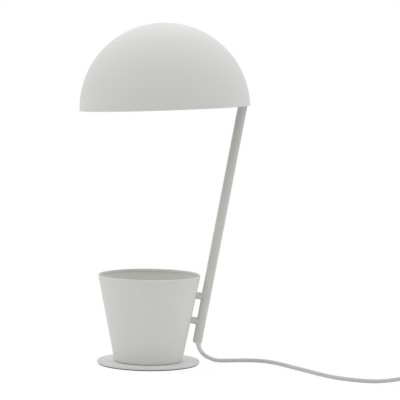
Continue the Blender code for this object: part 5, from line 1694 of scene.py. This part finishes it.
@dataclass(frozen=True)
class Lampholder(Assembly):
    """The white holder on its threaded nipple, with ceramic core, shell and terminals."""

    place: ClassVar[Matrix] = HOLDER
    body: ClassVar[str] = "shade"
    radius: float = 13.8 * MM
    wall: float = 1.8 * MM
    rear_wall: float = 3 * MM
    cap_length: float = 17 * MM
    cap_fillet: float = 4 * MM
    cap_chords: int = 10
    barrel_length: float = 34 * MM
    edge: float = 0.3 * MM
    mouth_fillet: float = 1 * MM
    step_fillet: float = 0.5 * MM
    grip_share: float = 0.35
    grip_depth: float = 0.8 * MM
    grip_ribs: int = 36
    rib_sides: int = 8
    flute_depth: float = 0.6 * MM
    plain_band: float = 1.2 * MM
    flute_start: float = 1.6 * MM
    nipple_radius: float = 5 * MM
    nipple_bore: float = 3.7 * MM
    nipple_pitch: float = 1 * MM
    nipple_outside: float = 10.5 * MM
    nipple_inside: float = 7.5 * MM
    washer_radius: float = 7.5 * MM
    washer_thickness: float = 1 * MM
    washer_edge: float = 0.15 * MM
    locknut_flats: float = 13.5 * MM
    locknut_height: float = 3 * MM
    leg_thickness: float = 1.5 * MM
    core_low: float = 12.5 * MM
    core_length: float = 11.5 * MM
    core_fillet: float = 0.5 * MM
    drill_radius: float = 1.6 * MM
    shell_radius: float = 7.8 * MM
    shell_wall: float = 0.5 * MM
    shell_length: float = 18.5 * MM
    shell_rings: int = 60
    tongue_width: float = 4 * MM
    tongue_reach: float = 4.8 * MM
    tongue_lift: float = 2 * MM
    tongue_fillet: float = 3 * MM
    tongue_edge: float = 0.1 * MM
    terminal_place: float = 6.5 * MM
    terminal_shank: float = 1.2 * MM
    terminal_length: float = 4 * MM
    terminal_head: float = 2.5 * MM
    terminal_rise: float = 1.4 * MM

    def build(self) -> None:
        """Build the holder from its nipple to its terminals."""
        self.make_mounting()
        self.make_housing()
        self.make_contacts()

    def make_mounting(self) -> None:
        """The nipple through the strap's leg, with its washer and locknut."""
        bore, pitch = self.nipple_bore, self.nipple_pitch
        start, end = -self.nipple_outside, self.nipple_inside
        spare = 3 * pitch / 2  # what a threaded end leaves plain below its tip
        thread = threaded(self.nipple_radius, start, end + spare, pitch)[:-2]
        outline = [(bore, start), *thread, (self.nipple_radius - pitch / 2, end), (bore, end)]
        nipple = turned("threaded_nipple", outline, SMALL_SIDES)
        self.add(nipple, ZINC, "holder_nipple")
        hole = self.nipple_radius + GAP
        high = -self.leg_thickness - GAP
        low = high - self.washer_thickness
        washer = ring("nipple_washer", self.washer_radius, hole, low, high, self.washer_edge)
        self.add(washer, ZINC, "holder_washer")
        seat = low - GAP - self.locknut_height
        body = hex_nut("nipple_locknut", self.locknut_flats, seat, self.locknut_height, hole)
        self.add(body, ZINC, "holder_locknut")

    def make_housing(self) -> None:
        """The cap with its rounded rear, and the barrel with its ribbed grip."""
        inner = self.radius - self.wall
        hole = self.nipple_radius + GAP
        end = GAP + self.cap_length
        corners = [
            (self.radius, end, self.edge),
            (self.radius, GAP, self.cap_fillet),
            (hole, GAP, self.edge),
            (hole, GAP + self.rear_wall, 0),
            (inner, GAP + self.rear_wall, self.cap_fillet / 2),
            (inner, end, 0),
        ]
        cap = turned("holder_cap", filleted(corners, steps=self.cap_chords), FINE_SIDES)
        self.add(cap, WHITE_PLASTIC, "lampholder_cap")
        low = end + GAP
        high = low + self.barrel_length
        step = low + self.barrel_length * self.grip_share
        grip = self.radius - self.grip_depth
        corners = [
            (grip, high, self.mouth_fillet),
            (grip, step + self.grip_depth, self.grip_depth),
            (self.radius, step, self.step_fillet),
            (self.radius, step - self.plain_band, 0),
            (self.radius, step - self.flute_start, 0),
            (self.radius, low + self.flute_start, 0),
            (self.radius, low + self.plain_band, 0),
            (self.radius, low, self.edge),
            (inner, low, 0),
            (inner, high, self.edge),
        ]

        def ribs(angle: float, radius: float, height: float) -> float:
            """Give the grip shallow flutes between its ribs.

            Args:
                angle: The angle round the axis.
                radius: The plain wall's radius.
                height: The height along the axis.

            Returns:
                The ribbed wall's radius there.
            """
            if radius < self.radius - MM or not low + MM < height < step - MM:
                return radius
            return radius - self.flute_depth * (1 - math.cos(self.grip_ribs * angle)) / 2

        sides = self.grip_ribs * self.rib_sides
        barrel = turned("holder_barrel", filleted(corners), sides, reshape=ribs)
        self.add(barrel, WHITE_PLASTIC, "lampholder_barrel")

    def make_contacts(self) -> None:
        """The ceramic core, the threaded shell, the sprung tongue and the terminal screws."""
        end = self.core_low + self.core_length
        wide = self.radius - self.wall - GAP
        core = pin("ceramic_core", wide, self.core_low, end, self.core_fillet, SMALL_SIDES)
        for side in (-1, 1):
            drill = pin("drill", self.drill_radius, self.core_low - MM, end + MM, 0)
            placed(drill, shift(y=side * self.terminal_place))
            core = combined(core, drill, "DIFFERENCE")
        self.add(core, CERAMIC, "lampholder_core")
        low = end + GAP
        thread = Thread(low, low + self.shell_length)
        bore, heights = self.shell_radius - self.shell_wall, thread.heights(self.shell_rings)
        outline = [(self.shell_radius, z) for z in reversed(heights)] + [(bore, z) for z in heights]
        shell = turned("threaded_shell", outline, Thread.sides, reshape=thread)
        self.add(shell, BRASS, "lampholder_shell")
        reach, lift, fillet = self.tongue_reach, low + self.tongue_lift, self.tongue_fillet
        under = [(-reach, low, 0), (0, low, fillet), (reach, lift, 0)]
        over = [(x, z + self.shell_wall, bend) for x, z, bend in reversed(under)]
        outline = filleted(under + over)
        tongue = plate(
            "sprung_tongue", outline, self.tongue_width, edge=self.tongue_edge, standing=True
        )
        self.add(tongue, BRASS, "lampholder_tongue")
        size = (self.terminal_shank, self.terminal_length, self.terminal_head, self.terminal_rise)
        for name, side in (("first", -1), ("second", 1)):
            seat = HOLDER @ shift(0, side * self.terminal_place, self.core_low - GAP)
            screw = pan_screw(f"{name}_core_screw", *size)
            self.add(screw, BRASS, f"{name}_terminal_screw", at=seat @ spin(math.pi, "X"))


@dataclass(frozen=True)
class Bulb(Assembly):
    """A small opal ball bulb in its screw cap, with black glass and a contact at its foot."""

    place: ClassVar[Matrix] = HOLDER
    body: ClassVar[str] = "shade"
    cap_radius: float = 6.8 * MM
    cap_wall: float = 0.4 * MM
    cap_start: float = 30.5 * MM
    cap_length: float = 16.5 * MM
    cap_rings: int = 54
    thread_above: float = 0.5 * MM
    thread_below: float = 3 * MM
    insulator_length: float = 1.6 * MM
    insulator_tip: float = 3.4 * MM
    insulator_fillet: float = 0.3 * MM
    contact_radius: float = 2.4 * MM
    contact_length: float = 0.8 * MM
    contact_fillet: float = 0.4 * MM
    ball_radius: float = 22.5 * MM
    ball_end: float = 106.5 * MM
    neck_radius: float = 7.2 * MM
    neck_fillet: float = 5 * MM
    glass_room: float = 0.05 * MM
    ball_chords: int = 56
    neck_chords: int = 12

    def build(self) -> None:
        """Build the glass, the cap, the insulator and the contact."""
        high = self.cap_start
        end = high + self.cap_length
        self.make_glass(end + self.glass_room)
        edge = self.cap_radius - self.cap_wall
        outline = [(0, end), (edge, end)]
        heights = Thread(high, end).heights(self.cap_rings)
        outline += [(self.cap_radius, z) for z in reversed(heights[1:])]
        outline += [(edge, high), (0, high)]
        thread = Thread(high + self.thread_above, end - self.thread_below)
        cap = turned("threaded_cap", outline, Thread.sides, closed=False, reshape=thread)
        self.add(cap, NICKEL, "bulb_cap")
        low = high - GAP - self.insulator_length
        corners = [
            (0, high, 0), (edge, high, 0), (edge, high - GAP, 0),
            (self.insulator_tip, low, self.insulator_fillet), (0, low, 0),
        ]
        self.add(spindle("black_insulator", corners), BLACK_GLASS, "bulb_insulator")
        tip = low - GAP - self.contact_length
        contact = pin("solder_contact", self.contact_radius, tip, low, self.contact_fillet)
        self.add(contact, NICKEL, "bulb_contact")

    def make_glass(self, seat: float) -> None:
        """The ball, running in a smooth curve into its neck.

        Args:
            seat: Where the neck ends.
        """
        middle = self.ball_end - self.ball_radius
        out = self.neck_radius + self.neck_fillet
        reach = self.ball_radius + self.neck_fillet
        down = math.sqrt(reach**2 - out**2)
        meet = -math.atan2(down, out)
        ball = arc((0, middle), self.ball_radius, QUARTER, meet, self.ball_chords)
        ball[0] = (0, self.ball_end)
        centre, start = (out, middle - down), math.pi - abs(meet)
        curve = arc(centre, self.neck_fillet, start, math.pi, self.neck_chords)
        outline = [*ball, *curve[1:], (self.neck_radius, seat), (0, seat)]
        glass = turned("opal_ball", outline, FINE_SIDES, closed=False)
        self.add(glass, OPAL_GLASS, "bulb_glass")


# Leads inside the lamp


@dataclass(frozen=True)
class Leads:
    """The two cores from the tube over the hinge into the lampholder."""

    core_radius: float = 0.8 * MM
    core_aside: float = 0.9 * MM
    brown_side: float = 1.3 * MM
    blue_side: float = 3.2 * MM
    core_steps: int = 10
    sheath_low: float = 12.3 * MM
    sheath_below: float = 24 * MM
    sheath_edge: float = 0.2 * MM
    heading: float = math.radians(35)
    reach: float = 7 * MM
    bend: float = 5 * MM
    nipple_side: float = 1.5 * MM
    nipple_near: float = 58.5 * MM
    terminal_side: float = 3 * MM
    terminal_near: float = 53.8 * MM
    mouth: float = 76.5 * MM

    def build(self) -> None:
        """Build the sheath in the tube and both halves of each core."""
        top = STEM_LENGTH - self.sheath_below
        sheath = pin("sheathed_lead", CORD_RADIUS, self.sheath_low, top, self.sheath_edge)
        dress(placed(sheath, STEM), SOFT_PVC, "stand", "stem_lead")
        for colour, finish, side, way in (
            ("brown", BROWN_CORE, self.brown_side, -1),
            ("blue", BLUE_CORE, self.blue_side, 1),
        ):
            for place, body, node, route in (
                ("tube", "stand", "stem_core", self.lower_route(side, way)),
                ("shade", "shade", "shade_core", self.upper_route(side, way)),
            ):
                core = round_wire(f"{colour}_core_in_{place}", route, self.core_radius)
                dress(core, finish, body, f"{node}_{colour}")

    def lower_route(self, side: float, way: int) -> list[Vector]:
        """From the sheath's end to the hinge's axis.

        Args:
            side: The core's side place at the hinge.
            way: On which side of the sheath it starts, -1 or 1.

        Returns:
            The smooth route.
        """
        heading = Vector((-math.sin(self.heading), 0, math.cos(self.heading)))
        pivot = Vector((-PIVOT_ASIDE, side, STEM_LENGTH + PIVOT_RISE))
        start, top = way * self.core_aside, STEM_LENGTH - self.sheath_below
        route = [
            Vector((0, start, top)),
            Vector((0, start, top + self.core_radius)),
            Vector((0, side, STEM_LENGTH - PLUG_DEPTH - GAP)),
            Vector((0, side, STEM_LENGTH)),
            pivot - heading * self.reach,
            pivot,
        ]
        return smooth_path([STEM @ point for point in route], self.core_steps)

    def upper_route(self, side: float, way: int) -> list[Vector]:
        """From the hinge's axis through the nipple to the terminals.

        Args:
            side: The core's side place at the hinge.
            way: Which terminal it runs to, -1 or 1.

        Returns:
            The smooth route.
        """
        angle = self.heading - LEAN - SHADE_TILT
        heading = Vector((-math.sin(angle), 0, math.cos(angle)))
        pivot = Vector((PIVOT_OUT, side, PIVOT_UP))
        inside = way * self.nipple_side
        route = [
            pivot,
            pivot + heading * self.reach,
            Vector((self.mouth + self.bend, (side + inside) / 2, HOLDER_UP - self.bend)),
            Vector((self.mouth, inside, HOLDER_UP)),
            Vector((self.nipple_near, inside, HOLDER_UP)),
            Vector((self.terminal_near, way * self.terminal_side, HOLDER_UP)),
        ]
        return smooth_path([SHADE @ point for point in route], self.core_steps)


# Switch and plug on the cord


@dataclass(frozen=True)
class Switch(Assembly):
    """The switch on the cord: two moulded halves, a rocker in a window, two screws below."""

    place: ClassVar[Matrix] = SWITCH
    length: float = 56 * MM
    width: float = 20 * MM
    height: float = 13.5 * MM
    corner: float = 6 * MM
    split: float = 6.7 * MM
    split_half: float = 0.1 * MM
    split_edge: float = 0.25 * MM
    lower_edge: float = 0.8 * MM
    upper_edge: float = 1.6 * MM
    window_length: float = 19 * MM
    window_width: float = 10 * MM
    window_depth: float = 10 * MM
    window_corner: float = 0.8 * MM
    rocker_turn: float = math.radians(8)
    rocker_radius: float = 8.8 * MM
    rocker_rise: float = 5 * MM
    rocker_dip: float = 3.5 * MM
    rocker_valley: float = 14 * MM
    rocker_skirt: float = 1.2 * MM
    rocker_width: float = 8.6 * MM
    rocker_edge: float = 0.3 * MM
    pivot_height: float = 9.8 * MM
    axle_radius: float = 0.8 * MM
    axle_half: float = 8.1 * MM
    axle_edge: float = 0.1 * MM
    screw_place: float = 18.5 * MM
    screw_shank: float = 1.1 * MM
    screw_length: float = 3 * MM
    screw_head: float = 2.1 * MM
    screw_rise: float = 1.2 * MM
    sink_radius: float = 2.4 * MM
    spring_near: float = 3 * MM
    spring_far: float = 9 * MM
    spring_low: float = 1.9 * MM
    spring_rise: float = 4 * MM
    spring_width: float = 3 * MM
    spring_thickness: float = 0.5 * MM
    spring_fold: float = 0.8 * MM
    spring_edge: float = 0.05 * MM
    chords: int = 10
    rocker_chords: int = 12

    def build(self) -> list[Piece]:
        """Build the switch, and give its pieces for the cord."""
        return [*self.make_case(), self.make_rocker(), *self.make_inside()]

    def make_case(self) -> list[Piece]:
        """Make the base with its sunk screws, and the cover with its window.

        Returns:
            The pieces.
        """
        half, side = self.length / 2, self.width / 2
        outline = rounded_box(-half, half, -side, side, self.corner, self.chords)
        top = self.split - self.split_half
        base = soft_slab("switch_lower_half", outline, 0, top, self.lower_edge, self.split_edge)
        size = (self.screw_shank, self.screw_length, self.screw_head, self.screw_rise)
        pieces = []
        for name, way in (("first", -1), ("second", 1)):
            place = shift(way * self.screw_place)
            sink = pin("sink", self.sink_radius, -MM, self.screw_rise + GAP, 0)
            base = combined(base, placed(sink, place), "DIFFERENCE")
            screw = pan_screw(f"{name}_case_screw", *size)
            seat = SWITCH @ place @ shift(z=self.screw_rise) @ spin(math.pi, "X")
            pieces.append(self.add(screw, ZINC, f"{name}_switch_screw", at=seat))
        low = self.split + self.split_half
        cover = soft_slab(
            "switch_upper_half", outline, low, self.height, self.split_edge, self.upper_edge
        )
        long, wide = self.window_length / 2, self.window_width / 2
        opening = rounded_box(-long, long, -wide, wide, self.window_corner)
        window = plate("window", opening, 2 * self.window_depth)
        cover = combined(cover, placed(window, shift(z=self.height)), "DIFFERENCE")
        pieces.append(self.add(base, WHITE_PLASTIC, "switch_base"))
        pieces.append(self.add(cover, WHITE_PLASTIC, "switch_cover"))
        return pieces

    def make_rocker(self) -> Piece:
        """Make the rocker: round ends, and a shallow valley between its raised sides.

        Returns:
            The piece.
        """
        high = math.asin(self.rocker_rise / self.rocker_radius) - self.rocker_turn
        low = -math.asin(self.rocker_skirt / self.rocker_radius)
        middle, radius, chords = (0, 0), self.rocker_radius, self.rocker_chords
        right = arc(middle, radius, low, high, chords)
        left = arc(middle, radius, math.pi - high, math.pi - low, chords)
        dip = (0, self.rocker_dip, self.rocker_valley)
        valley = filleted([(*right[-1], 0), dip, (*left[0], 0)], False, self.chords)
        outline = [*right[:-1], *valley, *left[1:]]
        rocker = plate(
            "rocker_key", outline, self.rocker_width, edge=self.rocker_edge, standing=True
        )
        placed(rocker, SWITCH @ shift(z=self.pivot_height) @ spin(self.rocker_turn, "Y"))
        return dress(rocker, WHITE_PLASTIC, "rocker", "switch_rocker")

    def make_inside(self) -> list[Piece]:
        """Make the rocker's axle and the contact spring, both out of sight.

        Returns:
            The pieces.
        """
        half = self.axle_half
        axle = pin("rocker_axle", self.axle_radius, -half, half, self.axle_edge)
        across = SWITCH @ shift(z=self.pivot_height) @ spin(QUARTER, "X")
        self.add(axle, ZINC, "switch_axle", at=across)
        near, far, low = self.spring_near, self.spring_far, self.spring_low
        high, thick, fold = low + self.spring_rise, self.spring_thickness, self.spring_fold
        corners = [
            (near, low, 0), (far, low, fold), (far, high, 0), (far - thick, high, 0),
            (far - thick, low + thick, fold - thick), (near, low + thick, 0),
        ]
        outline = filleted(corners)
        spring = plate(
            "switch_spring", outline, self.spring_width, edge=self.spring_edge, standing=True
        )
        self.add(spring, BRASS, "switch_contact")
        return [axle, spring]


@dataclass(frozen=True)
class Plug(Assembly):
    """The flat two-pin plug: a moulded body, a ribbed cord entry and sleeved pins."""

    place: ClassVar[Matrix] = PLUG
    length: float = 36 * MM
    width: float = 35.3 * MM
    height: float = 13.7 * MM
    neck_radius: float = 5.5 * MM
    neck_length: float = 10 * MM
    neck_start: float = 0.72
    neck_end: float = 0.98
    neck_ribs: int = 4
    neck_groove: float = 0.6 * MM
    grooved_to: float = 0.95
    neck_rings: int = 60
    shoulder: float = 7 * MM
    shoulder_fillet: float = 4.5 * MM
    corner: float = 2.5 * MM
    edge: float = 2.2 * MM
    pin_spacing: float = 18.6 * MM
    pin_radius: float = 2 * MM
    pin_length: float = 19 * MM
    pin_edge: float = 0.1 * MM
    pin_tip: float = 1.6 * MM
    sleeve_length: float = 10 * MM
    sleeve_edge: float = 0.15 * MM
    sleeve_room: float = 0.05 * MM
    chords: int = 8

    def build(self) -> list[Piece]:
        """Build the plug.

        Returns:
            Its pieces, for the cord.
        """
        pieces = [
            self.add(self.make_body(), WHITE_PLASTIC, "plug_body"),
            self.add(self.make_entry(), WHITE_PLASTIC, "plug_body", at=self.lying(0, 0)),
        ]
        for name, side in (("left", 1), ("right", -1)):
            front = self.lying(self.length, side * self.pin_spacing / 2)
            radius, end = self.pin_radius, self.sleeve_length
            sleeve = pin(f"{name}_pin_sleeve", radius, -MM, end, self.sleeve_edge)
            pieces.append(self.add(sleeve, BLACK_NYLON, "plug_body", at=front))
            low, high = end + self.sleeve_room, self.pin_length
            corners = [
                (0, low, 0), (radius, low, self.pin_edge),
                (radius, high, self.pin_tip), (0, high, 0),
            ]
            metal = spindle(f"{name}_contact_pin", corners, chords=self.chords)
            pieces.append(self.add(metal, NICKEL, f"{name}_plug_pin", at=front))
        return pieces

    def lying(self, along: float, side: float) -> Matrix:
        """Lays what is turned round Z along X at the plug's middle height."""
        return PLUG @ shift(along, side, self.height / 2) @ spin(QUARTER, "Y")

    def make_body(self) -> Piece:
        """Make the flat body with its rounded shoulders.

        Returns:
            The object.
        """
        near = [
            (self.neck_length, self.neck_radius, self.corner),
            (self.neck_length + self.shoulder, self.width / 2, self.shoulder_fillet),
            (self.length, self.width / 2, self.corner),
        ]
        far = [(x, -y, fillet) for x, y, fillet in near]
        outline = filleted(far + near[::-1], steps=self.chords)
        return soft_slab("plug_shell", outline, 0, self.height, self.edge, self.edge)

    def make_entry(self) -> Piece:
        """Make the round cord entry with its flex grooves.

        Returns:
            The object.
        """
        outline: Outline = [(0, self.neck_length + self.edge)]
        for i in range(self.neck_rings + 1):
            t = 1 - i / self.neck_rings
            wave = max(0, math.sin(FULL_TURN * self.neck_ribs * t)) ** 2 * (t < self.grooved_to)
            share = self.neck_start + (self.neck_end - self.neck_start) * t
            radius = self.neck_radius * share - self.neck_groove * wave
            outline.append((radius, self.neck_length * t + self.edge * (i == 0)))
        outline.append((0, 0))
        return turned("plug_cord_entry", outline, SMALL_SIDES, closed=False)


# Assembly


STUB_PLACES = {"lower": 24.1 * MM, "upper": 53.9 * MM}  # along the tube from its lower end


def main() -> None:
    """Build the lamp's looks piece by piece."""
    logging.basicConfig(level=logging.INFO, format="%(message)s")
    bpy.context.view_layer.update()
    Studio().build()
    cord = Cord()
    lead, stored = cord.make_lead(), cord.make_stored()
    tie = cord.make_tie()
    base = BaseAndCup()
    base.build()
    for name, along in STUB_PLACES.items():
        Stub(name, along, base).build()
    Stem().build(cord)
    for assembly in (Hinge(), Shade(), Lampholder(), Bulb(), Leads()):
        assembly.build()
    cord.declare(lead, stored, Switch().build(), [tie, *Plug().build()])


if __name__ == "__main__":
    main()
